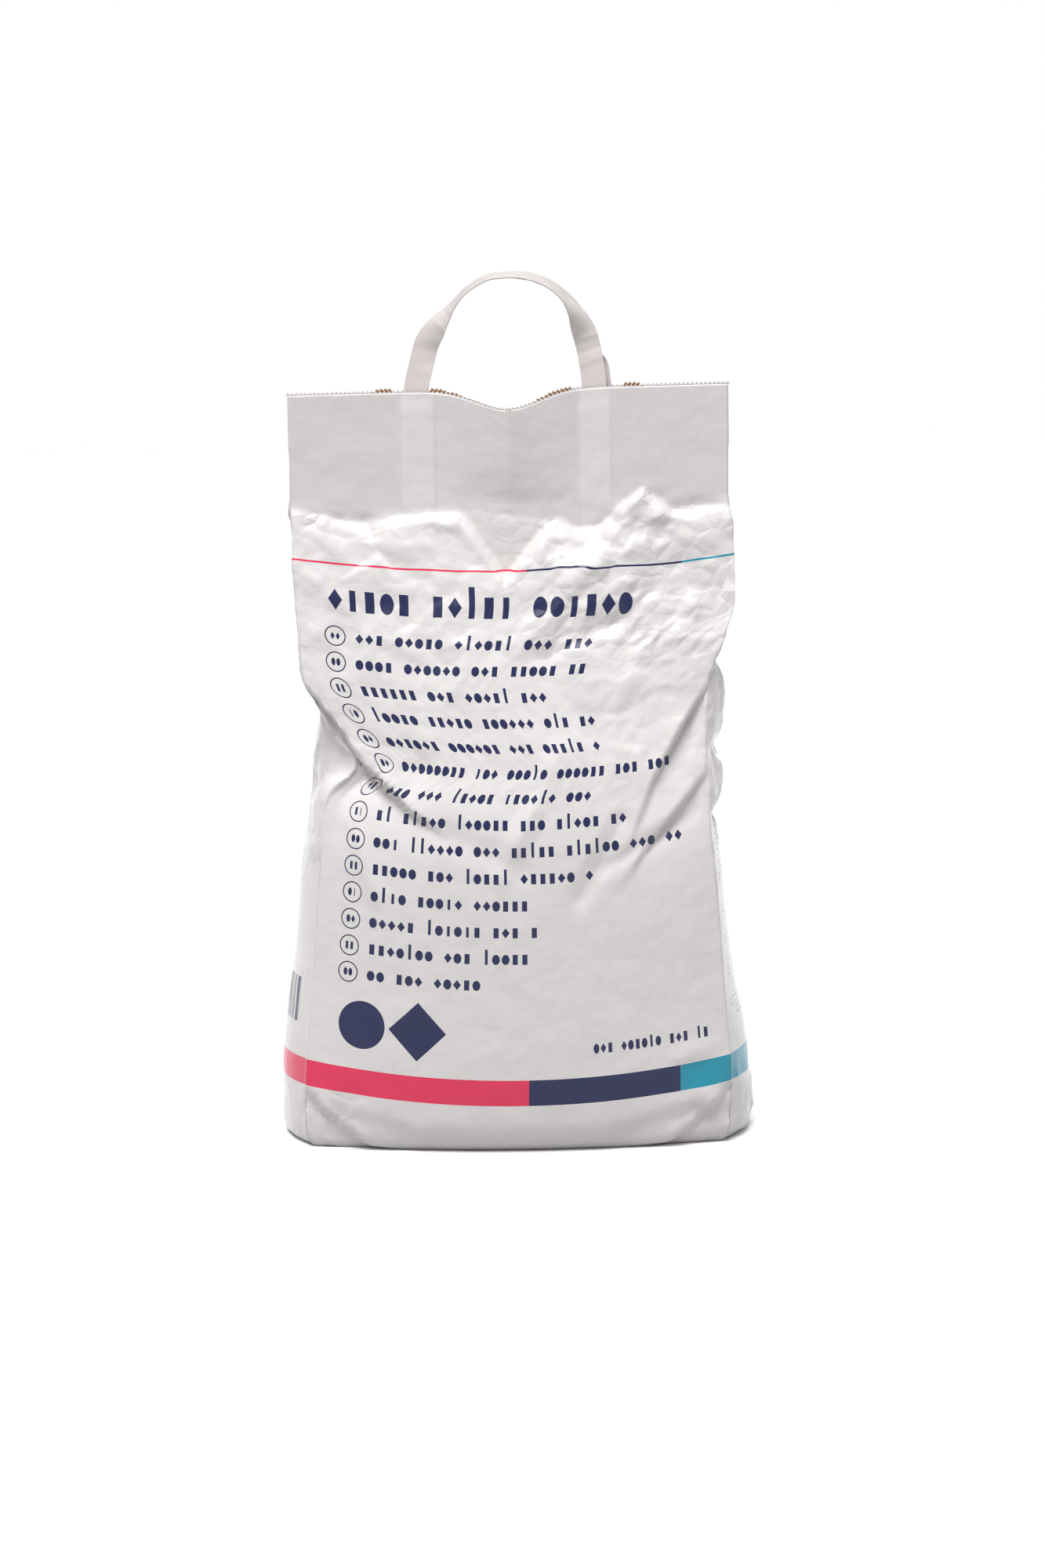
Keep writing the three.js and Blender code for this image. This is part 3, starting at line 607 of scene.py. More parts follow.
# The mouth: the outer ply ends at the roots of its pinked teeth, and its inner face goes down
# into the flap, where the kraft lining and the tapes are glued
PLY = 0.35
TOOTH_HEIGHT = 1.5
TOOTH_PITCH = 2.7
MOUTH_DEPTH = 26.0
root_drop = TOOTH_HEIGHT / 2
sack_points[-1, :, 2] -= root_drop
INNER_LEVELS = [0, 3, 8, 16, MOUTH_DEPTH]
inner_shares = 1 - np.array(INNER_LEVELS) / (MOUTH - SHOULDER)
inner_rings = flap_rings(inner_shares, FLAP_HALF - PLY, GROOVE_HALF + PLY, TUCK_X - PLY,
                         HALF_PANEL - PLY)
inner_rings[0, :, 2] -= root_drop
all_rings = np.concatenate([sack_points, inner_rings])
ring_total = len(all_rings)

sack_mesh = bpy.data.meshes.new("sack_paper")
faces = grid_faces(ring_total, column_count)
wall_face_count = len(faces)
faces += cap_faces(0, False)
faces += cap_faces((ring_total - 1) * column_count, True)
sack_mesh.from_pydata((all_rings * MM).reshape(-1, 3).tolist(), [], faces)
sack = new_object("sack_paper", sack_mesh)

# UV map in millimetres of flat paper. The face that closes the tube reads its far edge.
uv_layer = sack_mesh.uv_layers.new(name="flat_paper")
all_v = np.concatenate([flat_v, np.repeat(flat_v[-1:], len(inner_rings), axis=0)])
vertex_uv = np.stack([np.broadcast_to(flat_u, all_v.shape), all_v], axis=2).reshape(-1, 2)
loop_vertex = np.zeros(len(sack_mesh.loops), np.int32)
sack_mesh.loops.foreach_get("vertex_index", loop_vertex)
loop_uv = vertex_uv[loop_vertex]
closing = np.zeros(len(loop_uv), bool)
for face_index in range(column_count - 1, wall_face_count, column_count):
    start = sack_mesh.polygons[face_index].loop_start
    for k in range(4):
        closing[start + k] = loop_vertex[start + k] % column_count == 0
loop_uv[closing, 0] += TUBE
uv_layer.data.foreach_set("uv", loop_uv.astype(np.float32).ravel())
sack_mesh.polygons.foreach_set("use_smooth", np.ones(len(sack_mesh.polygons), bool))
mask = sack_mesh.attributes.new("crumple", "FLOAT", "POINT")
mask.data.foreach_set("value", np.concatenate(
    [crumple.ravel(), np.zeros(inner_rings.size // 3)]).astype(np.float32))

# White coated sack paper: a bright clay coat under a glossy film. Its print lies on the flat
# paper in millimetres, as rows of plain shapes that spell nothing.
coated_paper, paper_tree, paper_shader = new_material("coated_sack_paper", 0.3, 0.22)
paper_shader.inputs["Coat Weight"].default_value = 0.3
paper_shader.inputs["Coat Roughness"].default_value = 0.12
paper_map = add_node(paper_tree, "ShaderNodeUVMap", uv_map="flat_paper")
paper_axes = add_node(paper_tree, "ShaderNodeSeparateXYZ", {0: paper_map.outputs[0]})
paper_u, paper_v = paper_axes.outputs["X"], paper_axes.outputs["Y"]
INK_RED, INK_NAVY, INK_TEAL = "#DC3057", "#141C48", "#1C8CA4"
PAPER_WHITE, PAPER_OVER_TAPE = "#D8D4D3", "#DFDBDA"


def calc(operation, *values):
    """The result of a math node in the paper material."""
    inputs = dict(enumerate(values))
    return add_node(paper_tree, "ShaderNodeMath", inputs, operation=operation).outputs[0]


def between(value, low, high):
    """1 where a value lies between two numbers."""
    return calc("COMPARE", value, (low + high) / 2, (high - low) / 2)


def all_of(first, *masks):
    """1 where every mask is 1."""
    for other in masks:
        first = calc("MULTIPLY", first, other)
    return first


def any_of(first, *masks):
    """1 where one of the masks is 1."""
    for other in masks:
        first = calc("MAXIMUM", first, other)
    return first


def distance_to(across, up):
    """Distance to a point from the distances across and up."""
    return calc("SQRT", calc("ADD", calc("MULTIPLY", across, across), calc("MULTIPLY", up, up)))


def in_steps(factor, stops):
    """A colour that changes in steps. Stops are a share of the way and a linear colour."""
    steps = add_node(paper_tree, "ShaderNodeValToRGB", {0: factor})
    ramp = steps.color_ramp
    ramp.interpolation = "CONSTANT"
    while len(ramp.elements) < len(stops):
        ramp.elements.new(1.0)
    for element, (place, colour) in zip(ramp.elements, stops):
        element.position = place
        element.color = colour
    return steps.outputs[0]


def chance(index, row, shift):
    """Three random numbers for each index and row."""
    spot = add_node(paper_tree, "ShaderNodeCombineXYZ", {"X": index, "Y": row, "Z": shift})
    dice = add_node(paper_tree, "ShaderNodeTexWhiteNoise", {"Vector": spot.outputs[0]})
    return add_node(paper_tree, "ShaderNodeSeparateColor", {0: dice.outputs["Color"]}).outputs


# Word gaps: places in a cycle that moves on by some places from row to row
WORD_CYCLE, WORD_GAPS, ROW_SHIFT = 17.0, (3.0, 9.0, 16.0), 5.0
# Rolls up to which a shape is a disc, a block and a diamond, and over which a bar is a tall one
DISCS_TO, BLOCKS_TO, DIAMONDS_TO, TALL_OVER = 0.3, 0.62, 0.82, 0.35
# Half widths of round shapes and of blocks, as shares of a cell
ROUND_HALF, BLOCK_HALF = 0.41, 0.27


def marks(across, height, row, length, sizes, gaps=WORD_GAPS):
    """A row of simple shapes in groups, which has the grey of a line of print from a step
    away: discs, diamonds, blocks and bars, some of the bars taller. Sizes are the width of a
    cell, the heights of a low and a tall shape, and the width of a bar."""
    cell, low_height, tall_height, stroke = sizes
    index = calc("FLOOR", calc("DIVIDE", across, cell))
    inner = calc("SUBTRACT", across, calc("MULTIPLY", index, cell))
    kind, tall_roll = list(chance(index, row, 1.0))[:2]
    top = calc("MULTIPLY_ADD", calc("GREATER_THAN", tall_roll, TALL_OVER),
               tall_height - low_height, low_height)
    from_centre = calc("SUBTRACT", inner, 0.5 * cell)
    round_across = calc("DIVIDE", from_centre, ROUND_HALF * cell)
    round_up = calc("DIVIDE", calc("SUBTRACT", height, 0.5 * low_height), 0.5 * low_height)
    disc = all_of(calc("LESS_THAN", distance_to(round_across, round_up), 1.0),
                  calc("LESS_THAN", kind, DISCS_TO))
    block = all_of(between(from_centre, -BLOCK_HALF * cell, BLOCK_HALF * cell),
                   between(height, 0, low_height), between(kind, DISCS_TO, BLOCKS_TO))
    from_diamond = calc("ADD", calc("ABSOLUTE", round_across), calc("ABSOLUTE", round_up))
    diamond = all_of(calc("LESS_THAN", from_diamond, 1.0), between(kind, BLOCKS_TO, DIAMONDS_TO))
    bar = all_of(between(from_centre, -0.5 * stroke, 0.5 * stroke),
                 calc("GREATER_THAN", height, 0.0), calc("LESS_THAN", height, top),
                 calc("GREATER_THAN", kind, DIAMONDS_TO))
    kept = all_of(calc("GREATER_THAN", across, 0.0),
                  calc("LESS_THAN", calc("MULTIPLY_ADD", index, cell, cell), length))
    if gaps:
        place = calc("WRAP", calc("MULTIPLY_ADD", row, ROW_SHIFT, index), WORD_CYCLE, 0.0)
        gap = any_of(*[calc("COMPARE", place, gap, 0.5) for gap in gaps])
        in_word = any_of(calc("SUBTRACT", 1.0, gap), calc("LESS_THAN", index, 2.0))
        kept = all_of(kept, in_word)
    return all_of(any_of(disc, block, diamond, bar), kept)


def one_line(start, baseline, length, row, sizes):
    """A single line of such marks on the front."""
    return marks(calc("SUBTRACT", paper_u, start), calc("SUBTRACT", paper_v, baseline), row,
                 length, sizes)


# The list: rows of one pitch, each with a ring and a line of its own length
LIST_TOP, ROW_PITCH = 343.6, 16.5
ROW_LENGTHS = [154, 157, 128, 161, 162, 212, 153, 181, 215, 157, 111, 118, 113, 79]
LIST_START, LIST_DROP, LIST_SIZES = -99.5, 3.6, (6.3, 6.3, 9.4, 1.85)
RING_U, RING_RADIUS, RING_LINE = -111.5, 6.1, 0.38
IN_RING_HALF, IN_RING_DROP, IN_RING_LENGTH, IN_RING_SIZES = 3.2, 2.4, 6.5, (3.2, 4.8, 4.8, 0.6)
RAMP_LENGTH = 220.0
down = calc("DIVIDE", calc("SUBTRACT", LIST_TOP, paper_v), ROW_PITCH)
list_row = calc("FLOOR", down)
from_middle = calc("MULTIPLY", calc("SUBTRACT", 0.5, calc("FRACT", down)), ROW_PITCH)
in_list = between(down, 0, len(ROW_LENGTHS))
length_share = in_steps(calc("DIVIDE", down, float(len(ROW_LENGTHS))), [
    (number / len(ROW_LENGTHS), [length / RAMP_LENGTH] * 3 + [1.0])
    for number, length in enumerate(ROW_LENGTHS)])
row_length = calc("MULTIPLY", length_share, RAMP_LENGTH)
list_marks = marks(calc("SUBTRACT", paper_u, LIST_START), calc("ADD", from_middle, LIST_DROP),
                   list_row, row_length, LIST_SIZES)
from_ring = calc("SUBTRACT", paper_u, RING_U)
rings = calc("COMPARE", distance_to(from_ring, from_middle), RING_RADIUS, RING_LINE)
ring_marks = marks(calc("ADD", from_ring, IN_RING_HALF), calc("ADD", from_middle, IN_RING_DROP),
                   list_row, IN_RING_LENGTH, IN_RING_SIZES, ())
whole_list = all_of(any_of(list_marks, rings, ring_marks), in_list)

# The large mark below the list: a disc and a diamond
LARGE_V, DISC_U, DISC_RADIUS, DIAMOND_U, DIAMOND_HALF = 89.0, -100.5, 15.0, -64.5, 18.5
large_up = calc("SUBTRACT", paper_v, LARGE_V)
disc_distance = distance_to(calc("SUBTRACT", paper_u, DISC_U), large_up)
to_diamond = calc("SUBTRACT", paper_u, DIAMOND_U)
diamond_distance = calc("ADD", calc("ABSOLUTE", to_diamond), calc("ABSOLUTE", large_up))
large_mark = any_of(calc("LESS_THAN", disc_distance, DISC_RADIUS),
                    calc("LESS_THAN", diamond_distance, DIAMOND_HALF))

# The heading above the list and the small bold line below it
heading = one_line(-115.7, 351.8, 208.0, 37.0, (10.4, 13.2, 19.6, 3.7))
bold_line = one_line(47.0, 75.5, 76.0, 42.0, (4.4, 6.2, 7.6, 1.45))

# The left gusset has a field of stripes, and the right one small rings with tiny lines
STRIPE_PITCH, STRIPES_OVER, STRIPE_U, STRIPE_V = 0.85, 0.48, (552, 592), (82, 110)
stripe_index = calc("FLOOR", calc("DIVIDE", paper_u, STRIPE_PITCH))
stripes = all_of(calc("GREATER_THAN", chance(stripe_index, 0.0, 5.0)[0], STRIPES_OVER),
                 between(paper_u, *STRIPE_U), between(paper_v, *STRIPE_V))
SMALL_TOP, SMALL_PITCH, SMALL_ROWS = 200.0, 19.8, 6
SMALL_RING_U, SMALL_RING_RADIUS, SMALL_RING_LINE = 148.0, 2.4, 0.28
TINY_PITCH, TINY_START, TINY_LENGTH, TINY_SIZES = 3.3, 155.0, 67.0, (1.5, 1.5, 2.1, 0.4)
small_down = calc("DIVIDE", calc("SUBTRACT", SMALL_TOP, paper_v), SMALL_PITCH)
small_middle = calc("MULTIPLY", calc("SUBTRACT", 0.5, calc("FRACT", small_down)), SMALL_PITCH)
small_distance = distance_to(calc("SUBTRACT", paper_u, SMALL_RING_U), small_middle)
small_rings = calc("COMPARE", small_distance, SMALL_RING_RADIUS, SMALL_RING_LINE)
tiny_marks = marks(calc("SUBTRACT", paper_u, TINY_START), calc("MODULO", paper_v, TINY_PITCH),
                   calc("FLOOR", calc("DIVIDE", paper_v, TINY_PITCH)), TINY_LENGTH, TINY_SIZES)
small_print = all_of(any_of(small_rings, tiny_marks), between(small_down, 0, SMALL_ROWS))

ink_areas = any_of(whole_list, heading, large_mark, bold_line, stripes, small_print)

# The band round the foot and the thin line below the shoulder change colour along their way
RED_ENDS, NAVY_ENDS = 4.0, 100.0
BACK_TEAL_ENDS, BACK_NAVY_ENDS = 300.0, 390.0
u_from, u_to = -HALF_PANEL, TUBE - HALF_PANEL
ink_place = add_node(paper_tree, "ShaderNodeMapRange", {
    "Value": paper_u, "From Min": u_from, "From Max": u_to})
ink_stops = [(u_from, INK_RED), (RED_ENDS, INK_NAVY), (NAVY_ENDS, INK_TEAL),
             (BACK_TEAL_ENDS, INK_NAVY), (BACK_NAVY_ENDS, INK_RED)]
stripe_ink = in_steps(ink_place.outputs[0], [
    ((place - u_from) / (u_to - u_from), linear(colour)) for place, colour in ink_stops])
FOOT_BAND, THIN_LINE, TAPE_SHOWS_FROM = (44.6, 61.0), (381.0, 382.3), SHOULDER_V - 4
striped = any_of(between(paper_v, *FOOT_BAND), between(paper_v, *THIN_LINE))
over_tape = all_of(any_of(*[between(paper_u, low, high) for low, high in LEG_BANDS]),
                   calc("GREATER_THAN", paper_v, TAPE_SHOWS_FROM))
bare = mixed(paper_tree, over_tape, linear(PAPER_WHITE), linear(PAPER_OVER_TAPE))
with_stripes = mixed(paper_tree, striped, bare, stripe_ink)
printed = mixed(paper_tree, ink_areas, with_stripes, linear(INK_NAVY))
paper_tree.links.new(printed, paper_shader.inputs["Base Color"])

# Fine creases between the modelled ones, and the slight unevenness of paper pulled over litter
FACET_SCALE, FACET_HEIGHT, GRAIN_SCALE, GRAIN_HEIGHT = 0.075, 1.9, 0.05, 1.0
crumple_mask = add_node(paper_tree, "ShaderNodeAttribute", attribute_name="crumple")
small_facets = add_node(paper_tree, "ShaderNodeTexVoronoi", {
    "Vector": paper_map.outputs[0], "Scale": FACET_SCALE}, feature="DISTANCE_TO_EDGE")
grainy = add_node(paper_tree, "ShaderNodeTexNoise", {
    "Vector": paper_map.outputs[0], "Scale": GRAIN_SCALE, "Detail": 2.0})
facet_height = calc("MULTIPLY", calc("MULTIPLY", small_facets.outputs["Distance"],
                                     crumple_mask.outputs["Fac"]), FACET_HEIGHT)
uneven_height = calc("MULTIPLY", grainy.outputs[0], GRAIN_HEIGHT)
paper_bump = add_node(paper_tree, "ShaderNodeBump", {
    "Height": calc("ADD", facet_height, uneven_height), "Strength": 1.0, "Distance": MM})
paper_tree.links.new(paper_bump.outputs[0], paper_shader.inputs["Normal"])
sack_mesh.materials.append(coated_paper)

# Unbleached kraft: matt brown paper with short fibres
KRAFT_BROWN = "#AA825F"
kraft, _, kraft_shader = new_material("kraft_paper", 0.85, 0.12)
kraft_shader.inputs["Base Color"].default_value = linear(KRAFT_BROWN)
sack_mesh.materials.append(kraft)
material_index = np.zeros(len(sack_mesh.polygons), np.int32)
material_index[(len(sack_points) - 1) * column_count:wall_face_count] = 1
sack_mesh.polygons.foreach_set("material_index", material_index)
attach(sack, "root")
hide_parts("paper_sack")

# Pinked edges
# Both plies are cut with a pinking tool, so their edges at the mouth are rows of small teeth.
MOUTH_COLUMNS = np.linspace(-HALF_PANEL, HALF_PANEL, 271)


def pinked_teeth_tree():
    """Node group: teeth of a set size in a row along the object's own edges."""
    tree = bpy.data.node_groups.new("pinked_teeth", "GeometryNodeTree")
    face = tree.interface
    face.new_socket("Geometry", in_out="INPUT", socket_type="NodeSocketGeometry")
    sockets = {}
    for name, kind in [("Pitch", "NodeSocketFloat"), ("Height", "NodeSocketFloat"),
                       ("Ply", "NodeSocketFloat"), ("Paper", "NodeSocketMaterial")]:
        sockets[name] = face.new_socket(name, in_out="INPUT", socket_type=kind).identifier
    face.new_socket("Geometry", in_out="OUTPUT", socket_type="NodeSocketGeometry")
    given = add_node(tree, "NodeGroupInput")
    line = add_node(tree, "GeometryNodeMeshToCurve", {"Mesh": given.outputs["Geometry"]})
    places = add_node(tree, "GeometryNodeResampleCurve",
                      {"Curve": line.outputs[0], "Length": given.outputs["Pitch"]}, mode="LENGTH")
    tangent = add_node(tree, "GeometryNodeInputTangent")
    turned = add_node(tree, "FunctionNodeAlignRotationToVector",
                      {"Vector": tangent.outputs[0]}, axis="X")
    prism = add_node(tree, "GeometryNodeMeshCylinder",
                     {"Vertices": 3, "Radius": 1.0, "Depth": 1.0}, fill_type="NGON")
    upright = add_node(tree, "GeometryNodeTransform", {
        "Geometry": prism.outputs["Mesh"],
        "Rotation": (math.radians(90), math.radians(-90), 0)})
    half_base = add_node(tree, "ShaderNodeMath",
                         {0: given.outputs["Pitch"], 1: math.sqrt(3)}, operation="DIVIDE")
    tall = add_node(tree, "ShaderNodeMath",
                    {0: given.outputs["Height"], 1: 1.5}, operation="DIVIDE")
    size = add_node(tree, "ShaderNodeCombineXYZ", {
        "X": half_base.outputs[0], "Y": given.outputs["Ply"], "Z": tall.outputs[0]})
    teeth = add_node(tree, "GeometryNodeInstanceOnPoints", {
        "Points": places.outputs[0], "Instance": upright.outputs[0],
        "Rotation": turned.outputs[0], "Scale": size.outputs[0]})
    real = add_node(tree, "GeometryNodeRealizeInstances", {"Geometry": teeth.outputs[0]})
    painted = add_node(tree, "GeometryNodeSetMaterial", {
        "Geometry": real.outputs[0], "Material": given.outputs["Paper"]})
    add_node(tree, "NodeGroupOutput", {"Geometry": painted.outputs[0]})
    return tree, sockets


teeth_tree, teeth_sockets = pinked_teeth_tree()


def rows_to_mesh(name, lines, edges_only=False, closed=False):
    """A mesh of edges or quads between lines of equally many points in millimetres."""
    count = len(lines[0])
    mesh = bpy.data.meshes.new(name)
    points = (np.concatenate(lines) * MM).tolist()
    edges, quads = [], []
    for r in range(len(lines)):
        if edges_only:
            edges += [(r * count + k, r * count + k + 1) for k in range(count - 1)]
        elif r + 1 < len(lines):
            quads += [(r * count + k, r * count + (k + 1) % count, (r + 1) * count + (k + 1) % count,
                       (r + 1) * count + k) for k in range(count if closed else count - 1)]
    mesh.from_pydata(points, edges, quads)
    return mesh


def add_teeth(name, lines, paper):
    """A piece of teeth along lines at the edge of a ply, made real as a plain mesh."""
    carrier = new_object(name, rows_to_mesh(name, lines, edges_only=True))
    grown = carrier.modifiers.new("pinked_teeth", "NODES")
    grown.node_group = teeth_tree
    grown[teeth_sockets["Pitch"]] = TOOTH_PITCH * MM
    grown[teeth_sockets["Height"]] = TOOTH_HEIGHT * MM
    grown[teeth_sockets["Ply"]] = PLY * MM
    grown[teeth_sockets["Paper"]] = paper
    graph = bpy.context.evaluated_depsgraph_get()
    made = bpy.data.meshes.new_from_object(carrier.evaluated_get(graph), depsgraph=graph)
    carrier.modifiers.clear()
    carrier.data = made
    if not made.materials:
        made.materials.append(paper)
    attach(carrier, "root")


def edge_line(columns, offset_y, rise):
    """A line along the mouth of the flap, offset from its middle surface."""
    share = 1 + np.minimum(rise, 0) / (MOUTH - SHOULDER)
    return np.stack([columns, flap_middle_y(columns, share) + offset_y, mouth_z(columns) + rise], 1)


TOOTH_BASE = TOOTH_HEIGHT / 3
TOOTH_SUNK = 0.15
teeth_rise = TOOTH_BASE - root_drop - TOOTH_SUNK
add_teeth("white_teeth", [
    edge_line(MOUTH_COLUMNS, -FLAP_HALF + PLY / 2, teeth_rise),
    edge_line(MOUTH_COLUMNS, FLAP_HALF - PLY / 2, teeth_rise),
], coated_paper)

# Kraft lining
# The inner ply of brown paper. It shows between the edges of the outer ply, and it sticks out
# over the front edge in a few places.
KRAFT_WIDTH = 165.0
KRAFT_GAP = 0.35
KRAFT_LOW = -1.5
KRAFT_DROPS = (0, 4, 12, 22)
PEEK_SLOPE = 2
# Places where it sticks out: middle, half width, and height over the white teeth's roots
KRAFT_PEEKS = [(-76, 6, 0.5), (-43, 6, 0.6), (-33, 5, -0.2), (22, 6, -0.1), (31, 9, 0.5),
               (76, 6, 0.5)]
kraft_columns = np.linspace(-KRAFT_WIDTH / 2, KRAFT_WIDTH / 2, 166)


def kraft_rise(x):
    """How far the kraft edge stands over the roots of the white teeth."""
    rise = np.full(len(x), KRAFT_LOW)
    for middle, half_width, height in KRAFT_PEEKS:
        shown = np.clip((half_width - np.abs(x - middle)) / PEEK_SLOPE, 0, 1)
        rise = np.maximum(rise, KRAFT_LOW + (height - KRAFT_LOW) * shown)
    return rise


kraft_half = FLAP_HALF - PLY - KRAFT_GAP
kraft_lines = []
for y_side in (-1, 1):
    levels = []
    for drop in KRAFT_DROPS:
        columns = kraft_columns if y_side < 0 else kraft_columns[::-1]
        rise = kraft_rise(columns) if drop == 0 else np.full(len(columns), -float(drop))
        levels.append(edge_line(columns, y_side * kraft_half, rise))
    kraft_lines.append(levels)
kraft_rings = [np.concatenate(pair) for pair in zip(*kraft_lines)]
kraft_mesh = rows_to_mesh("kraft_lining", kraft_rings, closed=True)
kraft_mesh.materials.append(kraft)
kraft_lining = new_object("kraft_lining", kraft_mesh)
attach(kraft_lining, "root")
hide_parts("kraft_inner_ply")
add_teeth("kraft_teeth", [
    edge_line(kraft_columns, -kraft_half, kraft_rise(kraft_columns) + TOOTH_BASE - TOOTH_SUNK),
    edge_line(kraft_columns, kraft_half, kraft_rise(kraft_columns) + TOOTH_BASE - TOOTH_SUNK),
], kraft)

# Carrying handles
# Two flat tapes of folded off-white paper. Their legs are glued into the mouth, and over the
# arch both are turned on edge and lie side by side, as a hand has pressed them together.
TAPE_WIDTH = 15.0
TAPE_THICKNESS = 0.6
TAPE_Y = 1.6
TAPE_CLEARANCE = 0.6
LOOP_RISE = 68.5
LEG_X = TUCK_X / 2 + TAPE_WIDTH / 2 + 5.5
FRONT_RIGHT_LEG_X = LEG_X - 3.0
LEG_BOTTOM = 398.5
TAPE_PATH = [(-1, 0), (-0.945, 0.2), (-0.873, 0.41), (-0.8, 0.51), (-0.665, 0.66), (-0.44, 0.87),
             (-0.23, 0.972), (0, 1), (0.23, 0.985), (0.45, 0.92), (0.66, 0.79), (0.8, 0.645),
             (0.905, 0.45), (0.965, 0.24), (1, 0)]
# Shares of the rise between which a tape turns, on the left and right, and its whole turn in
# degrees on each side
FRONT_TURN = ((0.33, 0.8), (0.38, 0.85), (78, 80))
BACK_TURN = ((0.3, 0.75), (0.08, 0.5), (95, 111))
# Height of a tape's rims above its middle, of its waves, and of the creases as a share of the
# heights in their tables
TAPE_CROWN, TAPE_WAVE, CREASE_SHARE = 0.25, 0.05, 0.55
WAVE_COUNT, SHORT_WAVE, LONG_WAVE = 6, 9, 34
# Lean of a crease as a share of the tape's length, and how fast the shaping starts at the mouth
CREASE_LEAN, SHAPED_RATE = 0.006, 4
TAPE_STEPS, TAPE_COLUMNS = 300, 13
TAPE_SHARP_ANGLE = 50


def smooth_route(route, count):
    """Centripetal Catmull-Rom curve through points, at even distances."""
    route = np.array(route, float)
    route = np.concatenate([[2 * route[0] - route[1]], route, [2 * route[-1] - route[-2]]])
    pieces = []
    share = np.linspace(0, 1, 40, endpoint=False)[:, None]
    for p0, p1, p2, p3 in zip(route, route[1:], route[2:], route[3:]):
        gaps = [math.sqrt(np.linalg.norm(b - a)) for a, b in ((p0, p1), (p1, p2), (p2, p3))]
        start = ((p1 - p0) / gaps[0] - (p2 - p0) / (gaps[0] + gaps[1]) + (p2 - p1) / gaps[1])
        end = ((p2 - p1) / gaps[1] - (p3 - p1) / (gaps[1] + gaps[2]) + (p3 - p2) / gaps[2])
        start, end = start * gaps[1], end * gaps[1]
        t2, t3 = share ** 2, share ** 3
        pieces.append((2 * t3 - 3 * t2 + 1) * p1 + (t3 - 2 * t2 + share) * start
                      + (3 * t2 - 2 * t3) * p2 + (t3 - t2) * end)
    dense = np.concatenate(pieces + [route[-2:-1]])
    length = np.concatenate([[0], np.cumsum(np.linalg.norm(np.diff(dense, axis=0), axis=1))])
    even = np.linspace(0, length[-1], count)
    return np.stack([np.interp(even, length, dense[:, k]) for k in range(dense.shape[1])], 1), even


# Paper tape: matt, several plies of off-white paper. Over the arch its colour is darker: a
# painted shade, put where the overhead softbox would clip it to white.
TAPE_LEG_COLOUR, TAPE_ARCH_SHADE_COLOUR = "#E2DAD8", "#C4BEBC"
ARCH_FROM, ARCH_TO = 0.3, 0.85
tape_paper, tape_tree, tape_shader = new_material("paper_tape", 0.75, 0.1)
tape_place = add_node(tape_tree, "ShaderNodeTexCoord")
tape_axes = add_node(tape_tree, "ShaderNodeSeparateXYZ", {0: tape_place.outputs["Object"]})
# Share of the painted shade: none on the legs, rising up the arch to full near its top
arch_shade_share = add_node(tape_tree, "ShaderNodeMapRange", {
    "Value": tape_axes.outputs["Z"], "From Min": (MOUTH + ARCH_FROM * LOOP_RISE) * MM,
    "From Max": (MOUTH + ARCH_TO * LOOP_RISE) * MM})
tape_colour = mixed(tape_tree, arch_shade_share.outputs[0], linear(TAPE_LEG_COLOUR),
                    linear(TAPE_ARCH_SHADE_COLOUR))
tape_tree.links.new(tape_colour, tape_shader.inputs["Base Color"])


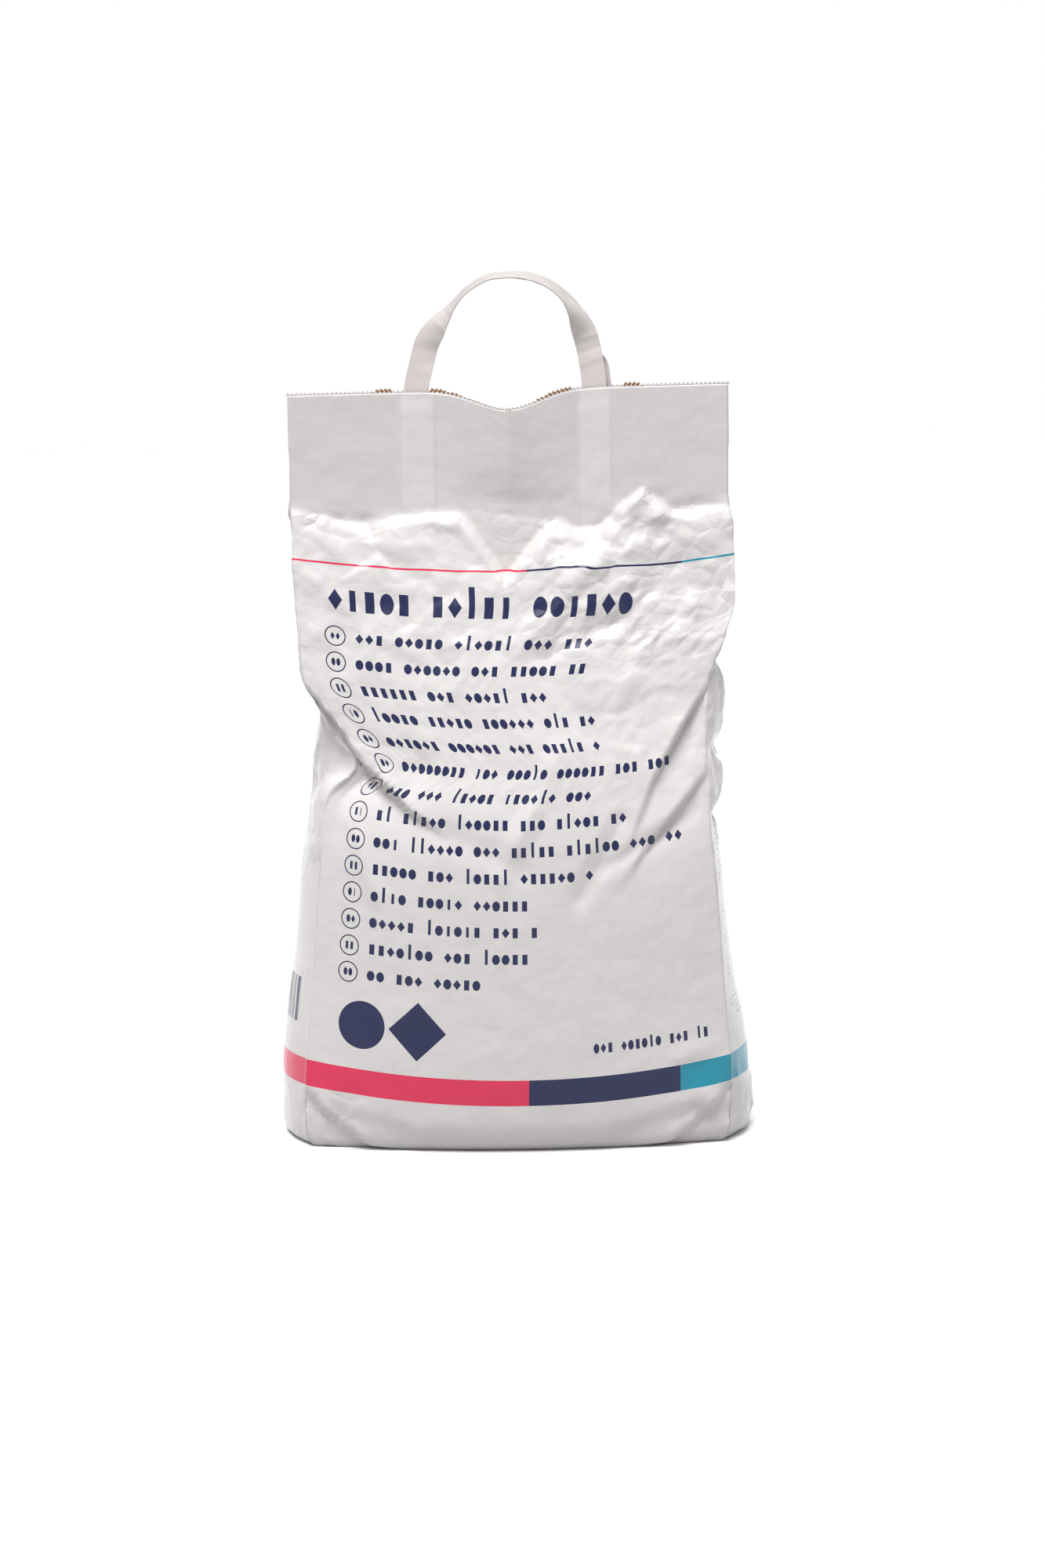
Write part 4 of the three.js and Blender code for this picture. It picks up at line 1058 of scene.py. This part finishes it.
def carrying_tape(name, side, right_leg_x, turning, creases, seed):
    """One tape. Creases are (share of its length, half width, height) across the tape."""
    route = [(x * (LEG_X if x < 0 else right_leg_x), MOUTH + z * LOOP_RISE) for x, z in TAPE_PATH]
    middle_z = (LEG_BOTTOM + MOUTH) / 2
    route = ([(-LEG_X, LEG_BOTTOM), (-LEG_X, middle_z)] + route
             + [(right_leg_x, middle_z), (right_leg_x, LEG_BOTTOM)])
    line, length = smooth_route(route, TAPE_STEPS)
    tangent = np.gradient(line, axis=0)
    tangent /= np.linalg.norm(tangent, axis=1, keepdims=True)
    rise = (line[:, 1] - MOUTH) / LOOP_RISE
    on_left = (line[:, 0] < 0)[:, None]
    turn_start, turn_end = np.where(on_left, turning[0], turning[1]).T
    eased = np.clip((rise - turn_start) / (turn_end - turn_start), 0, 1)
    to_right = np.clip((line[:, 0] + LEG_X) / (2 * LEG_X), 0, 1)
    to_right = to_right * to_right * (3 - 2 * to_right)
    whole_turn = turning[2][0] + (turning[2][1] - turning[2][0]) * to_right
    turn = eased * eased * (3 - 2 * eased) * np.radians(whole_turn)
    shift = TAPE_WIDTH / 2 + TAPE_CLEARANCE - TAPE_Y
    centre = np.stack([line[:, 0], side * (TAPE_Y + shift * np.sin(turn)), line[:, 1]], 1)
    forward = np.stack([tangent[:, 0], np.zeros(len(line)), tangent[:, 1]], 1)
    out = np.stack([-tangent[:, 1], np.zeros(len(line)), tangent[:, 0]], 1)
    face = out * np.sin(turn)[:, None] + np.array([0, side, 0]) * np.cos(turn)[:, None]
    across = np.cross(face, forward)
    across_share = np.linspace(-1, 1, TAPE_COLUMNS)
    rng = np.random.default_rng(seed)
    free = np.clip(rise * SHAPED_RATE, 0, 1)
    lift = np.zeros((len(line), len(across_share)))
    for place, half_width, height in creases:
        slant = place + CREASE_LEAN * across_share[None, :] * rng.uniform(-1, 1)
        distance = np.abs(length[:, None] / length[-1] - slant)
        lift += CREASE_SHARE * height * np.maximum(0, 1 - distance / half_width)
    lift += TAPE_CROWN * (across_share[None, :] ** 2 - 0.5) * free[:, None]
    for wave in range(WAVE_COUNT):
        period = rng.uniform(SHORT_WAVE, LONG_WAVE)
        phase = (length[:, None] / period * math.tau + across_share[None, :] * rng.uniform(-2, 2)
                 + rng.uniform(0, 6))
        lift += TAPE_WAVE * free[:, None] * np.sin(phase)
    rings = []
    for face_sign, shares, columns in ((1, across_share, slice(None)),
                                       (-1, across_share[::-1], slice(None, None, -1))):
        points = (centre[:, None, :] + across[:, None, :] * (shares[None, :, None] * TAPE_WIDTH / 2)
                  + face[:, None, :] * (lift[:, columns, None] + face_sign * TAPE_THICKNESS / 2))
        rings.append(points)
    rings = np.concatenate(rings, axis=1)
    mesh = rows_to_mesh(name, list(rings), closed=True)
    mesh.materials.append(tape_paper)
    mesh.polygons.foreach_set("use_smooth", np.ones(len(mesh.polygons), bool))
    mesh.set_sharp_from_angle(angle=math.radians(TAPE_SHARP_ANGLE))
    tape = new_object(name, mesh)
    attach(tape, "root")
    return tape


front_tape = carrying_tape("front_tape", -1, FRONT_RIGHT_LEG_X, FRONT_TURN, [
    (0.335, 0.008, 0.5), (0.36, 0.006, -0.4), (0.70, 0.006, 0.5), (0.725, 0.007, -0.5),
    (0.745, 0.006, 0.4)], 5)
back_tape = carrying_tape("back_tape", 1, LEG_X, BACK_TURN, [
    (0.33, 0.008, -0.4), (0.66, 0.008, 0.5), (0.7, 0.006, 0.5), (0.73, 0.007, -0.4)], 6)
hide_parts("front_handle")
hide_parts("back_handle")

bpy.context.view_layer.update()
